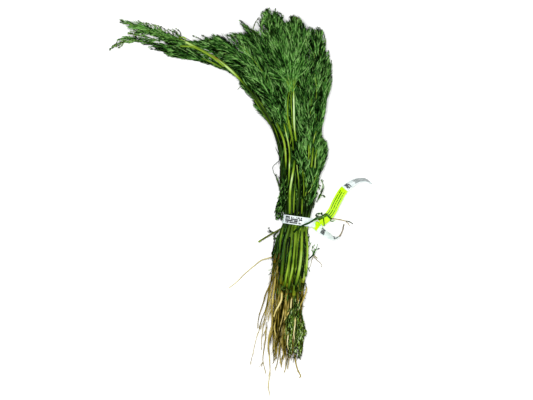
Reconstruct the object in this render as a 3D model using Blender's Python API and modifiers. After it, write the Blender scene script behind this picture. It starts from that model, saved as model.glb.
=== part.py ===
"""A bunch of whole dill plants with their roots, held by a twist tie and lying on a table.

The plants stand in columns, side by side, and in rows, one above another. Each plant is a leafy
stem, with its leaves grown on it, and a root of another colour under the stem's lower end.
Everything is laid out from the middle of the tie: +Y runs along the stems towards the leaves, +X is
to the right, and the table is z = 0. At the end the bunch is moved so that the origin is under the
middle of its box. All sizes are in metres.
"""

import math
import random

import bmesh
import bpy
import numpy as np
from mathutils import Vector
from mathutils.bvhtree import BVHTree
from mathutils.geometry import convex_hull_2d

# Driving sizes
STEM_DIAMETER = 0.0038
TIE_WIDTH = 0.0095
TIE_THICKNESS = 0.0008
BLADE_THICKNESS = 0.0007
GAP = 0.0004
WELD = 0.00002

# Plants in each column, from the left of the bunch to the right.
COLUMN_ROWS = (2, 3, 4, 3, 4, 3, 4, 3, 2)
MIDDLE_COLUMN = (len(COLUMN_ROWS) - 1) / 2
MIDDLE_ROW = (max(COLUMN_ROWS) - 1) / 2
BRANCH_COLUMNS = 2

# The bunch's middle line below the leaves: y, then x, then the distance between columns.
SPINE = (
    (-0.190, -0.0200, 0.0036),
    (-0.136, -0.0170, 0.0046),
    (-0.100, -0.0135, 0.0042),
    (-0.065, -0.0090, 0.0041),
    (-0.030, -0.0060, 0.0038),
    (0.000, 0.0000, 0.0031),
    (0.0225, 0.0022, 0.0037),
    (0.066, 0.0048, 0.0049),
)
SPINE_STEP = 0.004

# Where each column goes above the neck: the x and y of its last leaf's tip, its heading at the neck
# and at the tip in degrees from +Y towards +X, and how far each heading is held.
FAN = (
    (-0.203, 0.191, -8, -93, 0.074, 0.120),
    (-0.156, 0.213, -10, -84, 0.057, 0.097),
    (-0.103, 0.198, -8, -78, 0.053, 0.068),
    (-0.059, 0.216, -7, -42, 0.055, 0.055),
    (-0.034, 0.233, -5, -20, 0.058, 0.055),
    (-0.018, 0.227, -3, -12, 0.055, 0.055),
    (-0.004, 0.228, -1, -8, 0.052, 0.055),
    (0.017, 0.213, 2, -6, 0.050, 0.050),
    (0.028, 0.190, 3, -1, 0.045, 0.045),
)
NECK = SPINE[-1][0]
FAN_POINTS = 60
# The plant whose bright stalk lies on top of the bent branch: its column, row, neck and fan.
STALK_PLANT = (1, 2)
STALK_NECK = 0.030
STALK = (-0.194, 0.2195, -6, -78, 0.106, 0.119)

# Along a plant, measured from the tie: height of the lowest row's axis, and distance between rows.
TIE_EASE = 0.0004
TIE_FLOOR = STEM_DIAMETER / 2 + GAP + TIE_EASE + TIE_THICKNESS
ROW_HEIGHTS = (
    (-0.190, 0.0016, 0.0030),
    (-0.136, 0.0021, 0.0046),
    (-0.100, 0.0024, 0.0056),
    (-0.065, 0.0024, 0.0064),
    (-0.030, 0.0026, 0.0063),
    (0.000, TIE_FLOOR, 0.0060),
    (0.030, 0.0032, 0.0065),
    (0.070, 0.0036, 0.0082),
    (0.110, 0.0030, 0.0100),
    (0.160, 0.0021, 0.0104),
    (0.210, 0.0019, 0.0084),
    (0.260, 0.0017, 0.0064),
    (0.340, 0.0014, 0.0050),
)
# Between these distances from the tie, the branch's plants sink to lie straight on the table.
BRANCH_SINKS = (0.080, 0.180)
# What is lower than this is pressed flat on the table.
FLAT_BELOW = 0.0005
# Half the length of axis that a plant's direction is read from.
HEADING_REACH = 0.003
# The stretch of every axis, and its step, on which distances between plants are measured.
AXIS_STATIONS = (-0.16, 0.34, 0.004)

# Radius of a bare stem, measured along the plant from the tie.
STEM_RADII = (
    (-0.090, 0.0023),
    (0.000, STEM_DIAMETER / 2),
    (0.090, 0.0016),
    (0.200, 0.0011),
    (0.340, 0.0007),
)
# The leafy top's slim core, which the leaves stand out of.
CORE_RADIUS = 0.0026
CORE_START = (0.100, 0.092, 0.084, 0.075, 0.066, 0.058, 0.050, 0.036, 0.030)
CORE_RAMP = 0.030
CORE_TAPER = 0.040
THINNEST = 0.0004
# Where a stem's tube is bent: at these stations, and above them every so far.
BARE_STATIONS = (-0.034, -0.007, 0.007, 0.030, 0.050, 0.072)
STATION_ROOM = 0.006
CORE_STEP = 0.018

# Leaves
LEAF_LENGTH = (0.044, 0.060)
LEAFLET_PITCH = 0.0061
LEAFLET_SWEEP = math.radians(34)
LEAFLET_LENGTH = 0.0165
LEAFLET_VARIES = (0.75, 1.2)
LEAFLET_DROOP = 0.10
# The leaflet that ends a leaf, against the longest, and the share of a leaf's rib that is bare.
END_LEAFLET = 0.7
LEAF_BARE = 0.18
LEAST_RIB_POINTS = 6
RIB_WIDTH = 0.0013
RIB_TAPER = 0.6
LEAVES_SEEN = 5
LOWEST_LEAF = 0.0012
# How much the way outwards counts sideways, against up, for a column away from the middle.
OUTWARD_SHARE = 0.35
# Each new try at a leaf is this much smaller, and may turn this much further from the way outwards.
LEAF_TRIES = 26
TRY_SHRINKS = 0.018
TURN_AT_FIRST = 0.35
TRY_TURNS = 0.09
# How a leaf leaves its stem: the rise of its foot, how far its end lifts and drifts, and its roll.
LEAF_FOOT = CORE_RADIUS + 0.0018
FOOT_SHARE = 0.16
LEAF_LIFT = (0.004, 0.012)
LEAF_DRIFT = 0.016
LEAF_ROLL = 0.45
# A plant's last leaf goes on in the stem's line: how far it stands past the core and starts inside
# it, how long it is at least, and its share of another leaf's foot and drift, with its own lift.
LAST_LEAF = 0.030
LAST_LEAF_FOOT = 0.012
LAST_LEAF_LEAST = 0.020
LAST_FOOT_SHARE = 0.3
LAST_DRIFT_SHARE = 0.2
LAST_LIFT = 0.003
# The other leaves start no nearer to the core's end than this.
TOP_LEAF = 0.016
# How much lower each hidden row ends.
ROW_DROP = 0.011

# The outline that the leaves keep within, seen from above, from the neck's left side clockwise.
LEAF_OUTLINE = (
    (-0.024, 0.060),
    (-0.030, 0.092),
    (-0.038, 0.113),
    (-0.052, 0.126),
    (-0.068, 0.144),
    (-0.079, 0.159),
    (-0.104, 0.171),
    (-0.136, 0.174),
    (-0.164, 0.182),
    (-0.204, 0.182),
    (-0.211, 0.194),
    (-0.196, 0.223),
    (-0.160, 0.221),
    (-0.120, 0.206),
    (-0.104, 0.204),
    (-0.064, 0.207),
    (-0.062, 0.220),
    (-0.044, 0.226),
    (-0.031, 0.235),
    (-0.010, 0.227),
    (0.004, 0.227),
    (0.026, 0.211),
    (0.037, 0.184),
    (0.041, 0.148),
    (0.036, 0.122),
    (0.030, 0.102),
    (0.036, 0.074),
    (0.031, 0.050),
)

# Leaves that hang out of the bunch near the tie and among the roots: the column and row of the
# plant, where on it the leaf starts, the points of its line after that, and its leaflets' length.
LOOSE_LEAVES = (
    (0, 1, 0.030, ((-0.018, 0.024, 0.017), (-0.0205, 0.012, 0.015), (-0.0215, -0.002, 0.013)), 0.006),
    (0, 0, -0.013, ((-0.022, -0.014, 0.010), (-0.030, -0.018, 0.009), (-0.042, -0.023, 0.007)), 0.003),
    (8, 1, 0.012, ((0.0205, 0.020, 0.0165), (0.0245, 0.030, 0.017), (0.0275, 0.040, 0.017)), 0.006),
    (8, 1, -0.046, ((0.0135, -0.040, 0.016), (0.0175, -0.034, 0.017), (0.0205, -0.026, 0.018)), 0.006),
    (6, 3, -0.070, ((-0.002, -0.086, 0.0250), (-0.001, -0.112, 0.0245), (-0.004, -0.140, 0.0230)), 0.009),
    (7, 2, -0.066, ((0.005, -0.084, 0.0215), (0.006, -0.108, 0.0205), (0.004, -0.134, 0.0185)), 0.006),
)
LOOSE_LEAFLET_PITCH = 0.0050
LOOSE_BARE = 0.25
# The sprig caught in the tie: it starts below the tie, crosses over it and ends to its right.
CAUGHT_SPRIG = (
    (6, 3, -0.011),
    (
        (0.006, -0.0075, 0.0262),
        (0.014, -0.003, 0.0262),
        (0.021, 0.0015, 0.0240),
        (0.028, 0.0035, 0.0225),
        (0.036, 0.0025, 0.0215),
        (0.045, 0.000, 0.0205),
        (0.053, -0.0015, 0.0190),
        (0.061, -0.004, 0.0170),
    ),
    0.0055,
)
CAUGHT_BARE = 0.45

# Roots
STEM_BASE = (-0.044, -0.052, -0.068, -0.074, -0.078, -0.076, -0.080, -0.078, -0.074)
BASE_SCATTER = 0.006
ROOT_LENGTH = (0.060, 0.092)
ROOT_RADIUS = 0.0019
ROOT_END_RADIUS = 0.00045
ROOT_POINTS = 8
ROOT_WAVER = (0.0006, 0.0022)
ROOT_LEAN = 0.004
LEFT_LEAN = 0.004
ROOT_TRIES = 40
SIDE_ROOT_RADIUS = 0.0006
SIDE_ROOT_LENGTH = (0.020, 0.036)
SIDE_ROOT_STANDS_OFF = 0.0065
SIDE_ROOT_POINTS = 5
SIDE_ROOT_TAPER = 0.3
SIDE_ROOT_TRIES = 8
# How clear of the table a root's underside stays.
ROOT_CLEARS = 0.0001
# The one root that trails past the others, and how far down it reaches.
LONG_ROOT = (1, 1)
LONG_ROOT_END = -0.1975
LONG_ROOT_POINTS = 13
# The thin root that trails off to the left, from the top plant of the left column: how far down the
# first stretch of that plant's root it starts, and its points after that.
TRAILING_FOOT = 0.3
TRAILING_ROOT = (
    (-0.030, -0.0440, 0.0115),
    (-0.038, -0.0450, 0.0085),
    (-0.049, -0.0525, 0.0055),
    (-0.058, -0.0620, 0.0030),
    (-0.067, -0.0700, 0.0016),
    (-0.0755, -0.0755, 0.0010),
)

# Twist tie. Across the bunch it lies square to the stems, which lean by this much to the right.
TIE_LEAN = math.radians(8)
TWIST_AT = 0.0200
TWIST_HEIGHT = 0.0150
TWIST_LENGTH = 0.0070
TWIST_TURNS = 1.0
TWIST_WIDTH = 0.0046
TWIST_THICKNESS = 0.0026
TWIST_SECTIONS = 6
ARC_SIDES = 28
# The two free ends: points of the middle line, and how far the strip has rolled onto its edge there.
UPPER_END = (
    ((0.0262, -0.0025, 0.0152), 0),
    ((0.0290, 0.0020, 0.0158), 0),
    ((0.0360, 0.0095, 0.0160), 0),
    ((0.0425, 0.0215, 0.0155), 0),
    ((0.0525, 0.0335, 0.0140), 8),
    ((0.0590, 0.0395, 0.0125), 20),
    ((0.0675, 0.0440, 0.0105), 45),
    ((0.0765, 0.0445, 0.0085), 68),
    ((0.0830, 0.0408, 0.0068), 82),
)
LOWER_END = (
    ((0.0208, -0.0040, 0.0142), 0),
    ((0.0240, -0.0078, 0.0125), 0),
    ((0.0285, -0.0118, 0.0105), 8),
    ((0.0350, -0.0162, 0.0085), 25),
    ((0.0405, -0.0190, 0.0072), 48),
    ((0.0460, -0.0185, 0.0062), 70),
    ((0.0500, -0.0130, 0.0056), 84),
    ((0.0525, -0.0040, 0.0054), 88),
)

GREEN = (0.05, 0.20, 0.03)
TAN = (0.62, 0.50, 0.28)
TIE_COLOUR = (0.80, 0.86, 0.86)


def smooth_through(rows, at):
    """Reads a table of (station, value, ...) rows at a station, on a smooth curve through them."""
    table = np.array(rows, float)
    stations, values = table[:, 0], table[:, 1:]
    slopes = np.gradient(values, stations, axis=0)
    at = min(max(at, stations[0]), stations[-1])
    i = int(min(np.searchsorted(stations, at, side="right"), len(stations) - 1)) - 1
    width = stations[i + 1] - stations[i]
    s = (at - stations[i]) / width
    return (
        (2 * s**3 - 3 * s**2 + 1) * values[i]
        + (s**3 - 2 * s**2 + s) * width * slopes[i]
        + (3 * s**2 - 2 * s**3) * values[i + 1]
        + (s**3 - s**2) * width * slopes[i + 1]
    )


def smooth_line(points, pitch):
    """A smooth line through these points, as points about this far apart."""
    lengths = [(b - a).length for a, b in zip(points, points[1:])]
    stations = [0.0, *np.cumsum(lengths)]
    rows = [(s, *p) for s, p in zip(stations, points)]
    count = max(round(stations[-1] / pitch), 3)
    return [Vector(smooth_through(rows, stations[-1] * i / count)) for i in range(count + 1)]


def heading(degrees):
    """The unit vector in plan that points this far from +Y towards +X."""
    return np.array([math.sin(math.radians(degrees)), math.cos(math.radians(degrees))])


def inside_outline(point):
    """Whether a point, seen from above, is within the outline that the leaves keep to."""
    inside = False
    for (x0, y0), (x1, y1) in zip(LEAF_OUTLINE, (*LEAF_OUTLINE[1:], LEAF_OUTLINE[0])):
        if (y0 > point[1]) != (y1 > point[1]):
            if point[0] < x0 + (point[1] - y0) / (y1 - y0) * (x1 - x0):
                inside = not inside
    return inside


def guide_line(column, neck, fan):
    """A plant's line in plan, as (distance from the tie, x, y) every few millimetres."""
    offset_share = column - MIDDLE_COLUMN
    points = []
    for y in np.arange(SPINE[0][0], neck, SPINE_STEP):
        x, pitch = smooth_through(SPINE, y)
        ahead, _ = smooth_through(SPINE, y + SPINE_STEP / 2)
        behind, _ = smooth_through(SPINE, y - SPINE_STEP / 2)
        slope = math.atan2(ahead - behind, SPINE_STEP)
        offset = offset_share * pitch
        points.append((x + offset * math.cos(slope), y - offset * math.sin(slope)))
    tip_x, tip_y, neck_heading, tip_heading, neck_reach, tip_reach = fan
    x, pitch = smooth_through(SPINE, neck)
    start = np.array([x + offset_share * pitch, neck])
    end = np.array([tip_x, tip_y])
    first = start + neck_reach * heading(neck_heading)
    second = end - tip_reach * heading(tip_heading)
    for s in np.linspace(0, 1, FAN_POINTS):
        points.append(
            (1 - s) ** 3 * start
            + 3 * s * (1 - s) ** 2 * first
            + 3 * s**2 * (1 - s) * second
            + s**3 * end
        )
    line = np.array([tuple(p) for p in points])
    along = np.concatenate([[0], np.cumsum(np.linalg.norm(np.diff(line, axis=0), axis=1))])
    lower = len(line) // 2
    at_tie = np.interp(0, line[:lower, 1], along[:lower])
    return np.column_stack([along - at_tie, line])


class Plant:
    """One plant of the bunch: where its axis runs, and how thick its stem and its core are."""

    def __init__(self, number, column, row):
        rows = COLUMN_ROWS[column]
        is_stalk = (column, row) == STALK_PLANT
        self.column = column
        self.row = row
        self.half_rows = (rows - 1) / 2
        self.height_step = row - self.half_rows
        neck, fan = (STALK_NECK, STALK) if is_stalk else (NECK, FAN[column])
        self.guide = guide_line(column, neck, fan)
        self.name = f"plant_{number:02d}_leafy_stem"
        self.root_name = f"plant_{number:02d}_root"
        self.draw = random.Random(100 + number)
        self.base = STEM_BASE[column] + self.draw.uniform(-BASE_SCATTER, BASE_SCATTER)
        rows_above = 0 if column < BRANCH_COLUMNS else rows - 1 - row
        self.top = self.guide[-1][0] - ROW_DROP * rows_above * self.draw.uniform(0.6, 1.2)
        self.tip = self.top - LAST_LEAF

    @property
    def seen(self):
        """Whether the plant's leaves reach the outside of the bunch."""
        edge_column = self.column < BRANCH_COLUMNS or self.column >= len(COLUMN_ROWS) - 2
        return edge_column or abs(self.height_step) == self.half_rows

    def point(self, along):
        """The axis at a distance from the tie, positive towards the leaves."""
        distance = self.guide[:, 0]
        x = np.interp(along, distance, self.guide[:, 1])
        y = np.interp(along, distance, self.guide[:, 2])
        for beyond, end, before in (
            (along - distance[-1], self.guide[-1, 1:], self.guide[-3, 1:]),
            (distance[0] - along, self.guide[0, 1:], self.guide[2, 1:]),
        ):
            if beyond > 0:
                onward = (end - before) / np.linalg.norm(end - before)
                x, y = x + beyond * onward[0], y + beyond * onward[1]
        lowest, step = smooth_through(ROW_HEIGHTS, along)
        rows_up = self.height_step + MIDDLE_ROW
        if self.column < BRANCH_COLUMNS:
            starts, ends = BRANCH_SINKS
            sink = min(max((along - starts) / (ends - starts), 0), 1)
            rows_up -= sink * (MIDDLE_ROW - self.half_rows)
        return Vector((x, y, lowest + rows_up * step))

    def frame(self, along):
        """Point, level sideways direction, and the direction square to it and the axis."""
        onward, back = self.point(along + HEADING_REACH), self.point(along - HEADING_REACH)
        ahead = (onward - back).normalized()
        side = ahead.cross(Vector((0, 0, 1))).normalized()
        return self.point(along), side, side.cross(ahead)

    def radius(self, along, room):
        """Radius of the stem, or of the slim core that the leaves stand out of."""
        bare = float(smooth_through(STEM_RADII, along)[0])
        grown = min(max((along - CORE_START[self.column]) / CORE_RAMP, 0), 1)
        left = min(max((self.tip - along) / CORE_TAPER, 0), 1)
        full = bare + (CORE_RADIUS - bare) * grown * math.sqrt(left)
        return max(min(full, room), THINNEST)

    def outward_angle(self, along):
        """The way from the bunch's middle to this plant, as an angle from the sideways direction."""
        _, step = smooth_through(ROW_HEIGHTS, along)
        across = (self.column - MIDDLE_COLUMN) * OUTWARD_SHARE * step
        return math.atan2(self.height_step * step, across)


def all_plants():
    plants = []
    for column, rows in enumerate(COLUMN_ROWS):
        for row in range(rows):
            plants.append(Plant(len(plants) + 1, column, row))
    return plants


def room_around(plants):
    """A function that gives, beside any plant, half the distance to the nearest other axis."""
    stations = np.arange(*AXIS_STATIONS)
    axes = {plant.name: np.array([plant.point(a) for a in stations]) for plant in plants}

    def room(plant, along):
        here = np.array(plant.point(along))
        others = [line for name, line in axes.items() if name != plant.name]
        nearest = min(np.linalg.norm(line - here, axis=1).min() for line in others)
        return nearest / 2 - GAP

    return room


def material(name, colour, roughness):
    made = bpy.data.materials.new(name)
    made.use_nodes = True
    shader = made.node_tree.nodes["Principled BSDF"]
    shader.inputs["Base Color"].default_value = (*colour, 1)
    shader.inputs["Roughness"].default_value = roughness
    shader.inputs["Metallic"].default_value = 0
    return made


def closed_object(name, mesh, collection):
    """Welds a mesh's caps, triangulates it, turns its faces outwards and makes it an object."""
    shape = bmesh.new()
    shape.from_mesh(mesh)
    bmesh.ops.remove_doubles(shape, verts=shape.verts, dist=WELD)
    bmesh.ops.triangulate(shape, faces=shape.faces)
    bmesh.ops.recalc_face_normals(shape, faces=shape.faces)
    shape.to_mesh(mesh)
    shape.free()
    mesh.name = name
    made = bpy.data.objects.new(name, mesh)
    collection.objects.link(made)
    return made


def tube(name, points, radii, collection, bevel_resolution=1):
    """A tapered tube through these points, as a closed mesh object."""
    curve = bpy.data.curves.new(name, "CURVE")
    curve.dimensions = "3D"
    curve.bevel_depth = 1.0
    curve.bevel_resolution = bevel_resolution
    curve.use_fill_caps = True
    spline = curve.splines.new("POLY")
    spline.points.add(len(points) - 1)
    for i, (point, radius) in enumerate(zip(points, radii)):
        spline.points[i].co = (*point, 1)
        spline.points[i].radius = radius
    drawn = bpy.data.objects.new(name + "_line", curve)
    collection.objects.link(drawn)
    bpy.context.view_layer.update()
    evaluated = drawn.evaluated_get(bpy.context.evaluated_depsgraph_get())
    mesh = bpy.data.meshes.new_from_object(evaluated)
    bpy.data.objects.remove(drawn)
    return closed_object(name, mesh, collection)


def applied(thing):
    """Applies an object's modifiers."""
    bpy.context.view_layer.update()
    evaluated = thing.evaluated_get(bpy.context.evaluated_depsgraph_get())
    mesh = bpy.data.meshes.new_from_object(evaluated)
    thing.modifiers.clear()
    thing.data = mesh
    return thing


def joined(body, pieces):
    """Fuses the pieces into the body by one Boolean union, and removes them."""
    if not pieces:
        return body
    group = bpy.data.collections.new(body.name + "_pieces")
    bpy.context.scene.collection.children.link(group)
    for piece in pieces:
        for old in list(piece.users_collection):
            old.objects.unlink(piece)
        group.objects.link(piece)
    union = body.modifiers.new("join", "BOOLEAN")
    union.operation = "UNION"
    union.operand_type = "COLLECTION"
    union.solver = "MANIFOLD"
    union.collection = group
    applied(body)
    for piece in pieces:
        bpy.data.objects.remove(piece)
    bpy.data.collections.remove(group)
    return body


def leaflet_share(share):
    """How long a leaflet is, against the longest, this far along the leaf: broad near the middle."""
    return (0.45 + 2.2 * share) * (1.12 - share) ** 1.1


class Leaf:
    """One feathery leaf: a rib with swept pairs of narrow leaflets, as an open surface."""

    def __init__(self, rib, across, bare_share, leaflet):
        """rib: the middle line's points; across: the sideways direction at each of them."""
        self.points = []
        self.rib_faces = []
        self.leaflet_faces = []
        count = len(rib)
        edges = []
        for i, (point, side) in enumerate(zip(rib, across)):
            half = RIB_WIDTH / 2 * (1 - RIB_TAPER * i / count)
            edges.append((self.add(point - side * half), self.add(point + side * half)))
        first_leaflet = max(1, round(bare_share * count))
        for i in range(count - 1):
            (left, right), (left_next, right_next) = edges[i], edges[i + 1]
            self.rib_faces.append((left, right, right_next))
            self.rib_faces.append((left, right_next, left_next))
            if i < first_leaflet:
                continue
            share = (i - first_leaflet) / max(count - 1 - first_leaflet, 1)
            length = leaflet * leaflet_share(share)
            ahead = (rib[i + 1] - rib[i]).normalized()
            droop = ahead.cross(across[i]) * LEAFLET_DROOP
            for corner, corner_next, sign in ((left, left_next, -1), (right, right_next, 1)):
                side = across[i] * sign
                reach = ahead * math.cos(LEAFLET_SWEEP) + side * math.sin(LEAFLET_SWEEP)
                tip = self.add(self.points[corner_next] + (reach - droop) * length)
                ends = (corner_next, corner) if sign > 0 else (corner, corner_next)
                self.leaflet_faces.append((*ends, tip))
        last_left, last_right = edges[-1]
        end = self.add(rib[-1] + (rib[-1] - rib[-2]).normalized() * leaflet * END_LEAFLET)
        self.leaflet_faces.append((last_left, last_right, end))

    def add(self, point):
        self.points.append(Vector(point))
        return len(self.points) - 1

    def solid(self, name, collection):
        """The leaf as a thin closed blade."""
        mesh = bpy.data.meshes.new(name)
        mesh.from_pydata(self.points, [], self.rib_faces + self.leaflet_faces)
        made = bpy.data.objects.new(name, mesh)
        collection.objects.link(made)
        thick = made.modifiers.new("thickness", "SOLIDIFY")
        thick.thickness = BLADE_THICKNESS
        thick.offset = 0
        applied(made)
        blade = made.data.copy()
        bpy.data.objects.remove(made)
        return closed_object(name, blade, collection)

    def tree(self, faces, reach):
        """A search tree of these faces, thickened by this much on both sides."""
        surface = bmesh.new()
        corners = [surface.verts.new(p) for p in self.points]
        for face in self.rib_faces + self.leaflet_faces:
            surface.faces.new([corners[i] for i in face])
        surface.normal_update()
        normals = [Vector(v.normal) for v in corners]
        surface.free()
        count = len(self.points)
        upper = [p + n * reach for p, n in zip(self.points, normals)]
        lower = [p - n * reach for p, n in zip(self.points, normals)]
        walls = []
        for a, b, c in faces:
            walls += [(a, b, c), (a + count, c + count, b + count)]
            for i, j in ((a, b), (b, c), (c, a)):
                walls += [(i, j, j + count), (i, j + count, i + count)]
        return BVHTree.FromPolygons(upper + lower, walls)


class Space:
    """What has been placed so far, so that a new leaf or root is bent clear of it."""

    def __init__(self):
        self.taken = []

    def add_object(self, owner, thing):
        corners = [v.co.copy() for v in thing.data.vertices]
        faces = [tuple(p.vertices) for p in thing.data.polygons]
        self.add_tree(owner, corners, BVHTree.FromPolygons(corners, faces))

    def add_tree(self, owner, corners, tree):
        low = np.min([tuple(c) for c in corners], axis=0)
        high = np.max([tuple(c) for c in corners], axis=0)
        self.taken.append((owner, low, high, tree))

    def free(self, corners, tree, but=()):
        """Whether this search tree meets nothing but what the named owners placed."""
        low = np.min([tuple(c) for c in corners], axis=0) - 0.001
        high = np.max([tuple(c) for c in corners], axis=0) + 0.001
        for owner, other_low, other_high, other in self.taken:
            if owner in but or (low > other_high).any() or (high < other_low).any():
                continue
            if tree.overlap(other):
                return False
        return True


def core_owner(plant):
    """The name under which a plant's stem and core are entered in the space."""
    return plant.name + "_core"


def leaf_fits(leaf, plant, space, is_last=False):
    """Whether a leaf is clear of all but its own stem, at its rib or, if it is the last, all over."""
    own = (core_owner(plant),)
    if min(p.z for p in leaf.points) < LOWEST_LEAF:
        return False
    reach = BLADE_THICKNESS / 2 + GAP
    leaflets = leaf.tree(leaf.leaflet_faces, reach)
    if not space.free(leaf.points, leaflets, own if is_last else ()):
        return False
    return space.free(leaf.points, leaf.tree(leaf.rib_faces, reach), own)


def keep_leaf(leaf, plant, space):
    whole = leaf.tree(leaf.leaflet_faces + leaf.rib_faces, BLADE_THICKNESS / 2)
    space.add_tree(plant.name, leaf.points, whole)
    return leaf


def try_leaf(plant, along, attempt, is_last):
    """One way a leaf could grow from a plant at this place. Later attempts are smaller and wilder."""
    draw = plant.draw
    shrink = 1 - TRY_SHRINKS * attempt
    length = draw.uniform(*LEAF_LENGTH) * shrink
    leaflet = LEAFLET_LENGTH * draw.uniform(*LEAFLET_VARIES) * shrink
    if is_last:
        length = max(plant.top - along - leaflet * END_LEAFLET, LAST_LEAF_LEAST)
    turn = TURN_AT_FIRST + TRY_TURNS * attempt
    angle = plant.outward_angle(along) + draw.uniform(-turn, turn)
    lift = LAST_LIFT if is_last else draw.uniform(*LEAF_LIFT) * shrink
    drift = draw.uniform(-LEAF_DRIFT, LEAF_DRIFT) * shrink * (LAST_DRIFT_SHARE if is_last else 1)
    roll = draw.uniform(-LEAF_ROLL, LEAF_ROLL)
    foot = LEAF_FOOT * (LAST_FOOT_SHARE if is_last else 1)
    count = max(round(length / LEAFLET_PITCH), LEAST_RIB_POINTS)
    rib, across = [], []
    for i in range(count):
        share = i / (count - 1)
        point, side, up = plant.frame(along + share * length)
        outward = side * math.cos(angle) + up * math.sin(angle)
        rise = foot * min(share / FOOT_SHARE, 1) + lift * share**1.4
        rib.append(point + outward * rise + side * (drift * share**1.5))
        across.append(side * math.cos(roll) + up * math.sin(roll))
    return Leaf(rib, across, 0 if is_last else LEAF_BARE, leaflet)


def grow_leaf(plant, along, space, is_last=False):
    """Places one leaf clear of all that stands, or returns None where there is no room."""
    for attempt in range(LEAF_TRIES):
        leaf = try_leaf(plant, along, attempt, is_last)
        if plant.seen and not all(inside_outline(p) for p in leaf.points):
            continue
        if leaf_fits(leaf, plant, space, is_last):
            return keep_leaf(leaf, plant, space)
    return None


def routed_leaf(plant, along, route, leaflet, bare_share):
    """A leaf along a chosen line, which starts in a plant's stem."""
    rib = smooth_line([plant.point(along), *map(Vector, route)], LOOSE_LEAFLET_PITCH)
    across = []
    for i in range(len(rib)):
        ahead = rib[min(i + 1, len(rib) - 1)] - rib[max(i - 1, 0)]
        across.append(ahead.cross(Vector((0, 0, 1))).normalized())
    return Leaf(rib, across, bare_share, leaflet)


def stem_core(plant, room, collection):
    """A plant's stem, thickened above into the slim core that its leaves stand out of."""
    start = CORE_START[plant.column]
    low, high = plant.base + STATION_ROOM, start - STATION_ROOM
    bare = [along for along in BARE_STATIONS if low < along < high]
    leafy = np.linspace(start, plant.tip, int((plant.tip - start) / CORE_STEP))
    stations = [plant.base, *bare, *leafy]
    points = [plant.point(a) for a in stations]
    radii = [plant.radius(a, room(plant, a)) for a in stations]
    return tube(plant.name, points, radii, collection)


def root_line(plant, attempt):
    """The points and radii of a tapered, wavering root. Later attempts are shorter and straighter."""
    draw = plant.draw
    calm = 1 - attempt / (1.5 * ROOT_TRIES)
    length = draw.uniform(*ROOT_LENGTH) * calm
    waver = draw.uniform(*ROOT_WAVER) * calm
    turns, phase = draw.uniform(0.8, 1.8), draw.uniform(0, math.tau)
    lean = draw.uniform(-ROOT_LEAN, ROOT_LEAN) * calm
    taper_over = length
    count = ROOT_POINTS
    if (plant.column, plant.row) == LONG_ROOT:
        length = plant.base - LONG_ROOT_END
        count = LONG_ROOT_POINTS
    elif plant.column < BRANCH_COLUMNS:
        lean -= LEFT_LEAN * calm
    points, radii = [], []
    for i in range(count):
        share = i / (count - 1)
        point, side, up = plant.frame(plant.base - GAP - share * length)
        swing = share * waver * math.sin(phase + math.tau * turns * share)
        lift = share * waver * math.cos(phase + math.tau * turns * share)
        point = point + side * (swing + lean * share) + up * lift
        left = max(1 - share * length / taper_over, 0)
        radius = ROOT_RADIUS * left**0.9 + ROOT_END_RADIUS
        point.z = max(point.z, radius + ROOT_CLEARS)
        points.append(point)
        radii.append(radius)
    return points, radii


def side_root_line(plant, points):
    """The points of a thin root that leaves the main one part of the way down."""
    draw = plant.draw
    start = 2 + draw.randrange(2)
    out = Vector((draw.uniform(-1, 1), draw.uniform(-0.3, 0.3), draw.uniform(-0.5, 0.5)))
    reach = draw.uniform(*SIDE_ROOT_LENGTH)
    down = (points[-1] - points[start]).normalized()
    line = []
    for i in range(SIDE_ROOT_POINTS):
        share = i / (SIDE_ROOT_POINTS - 1)
        point = points[start] + down * reach * share + out * SIDE_ROOT_STANDS_OFF * share**0.8
        point.z = max(point.z, SIDE_ROOT_RADIUS + ROOT_CLEARS)
        line.append(point)
    return line


def grown_root(name, points, radii, space, collection, but):
    """The root's tube, if it is clear of all that stands, else None."""
    wide = tube("room", points, [r + GAP for r in radii], collection, bevel_resolution=0)
    corners = [v.co.copy() for v in wide.data.vertices]
    tree = BVHTree.FromPolygons(corners, [tuple(p.vertices) for p in wide.data.polygons])
    bpy.data.objects.remove(wide)
    if not space.free(corners, tree, but):
        return None
    return tube(name, points, radii, collection, bevel_resolution=0)


def main_root(plant, space, collection):
    """A plant's main root, and the points of its middle line."""
    own = (core_owner(plant),)
    for attempt in range(ROOT_TRIES):
        points, radii = root_line(plant, attempt)
        body = grown_root(plant.root_name, points, radii, space, collection, own)
        if body:
            space.add_object(plant.root_name, body)
            return body, points
    raise RuntimeError(f"{plant.root_name} has no room")


def with_side_root(plant, body, points, space, collection):
    """The root with a thin side root fused to it, where there is room for one."""
    own = (core_owner(plant), plant.root_name)
    lines = [side_root_line(plant, points) for _ in range(SIDE_ROOT_TRIES)]
    if plant.column == 0 and plant.height_step == plant.half_rows:
        foot = points[0] + (points[1] - points[0]) * TRAILING_FOOT
        lines.insert(0, [foot, *map(Vector, TRAILING_ROOT)])
    for line in lines:
        last = len(line) - 1
        taper = [SIDE_ROOT_RADIUS * (1 - SIDE_ROOT_TAPER * i / last) for i in range(last + 1)]
        side = grown_root("side_root", line, taper, space, collection, own)
        if side:
            space.add_object(plant.root_name, side)
            return joined(body, [side])
    return body


def tie_axes():
    """The directions across the bunch, in the tie's plane, and along its stems."""
    across = Vector((math.cos(TIE_LEAN), -math.sin(TIE_LEAN), 0))
    along = Vector((math.sin(TIE_LEAN), math.cos(TIE_LEAN), 0))
    return across, along


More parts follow.
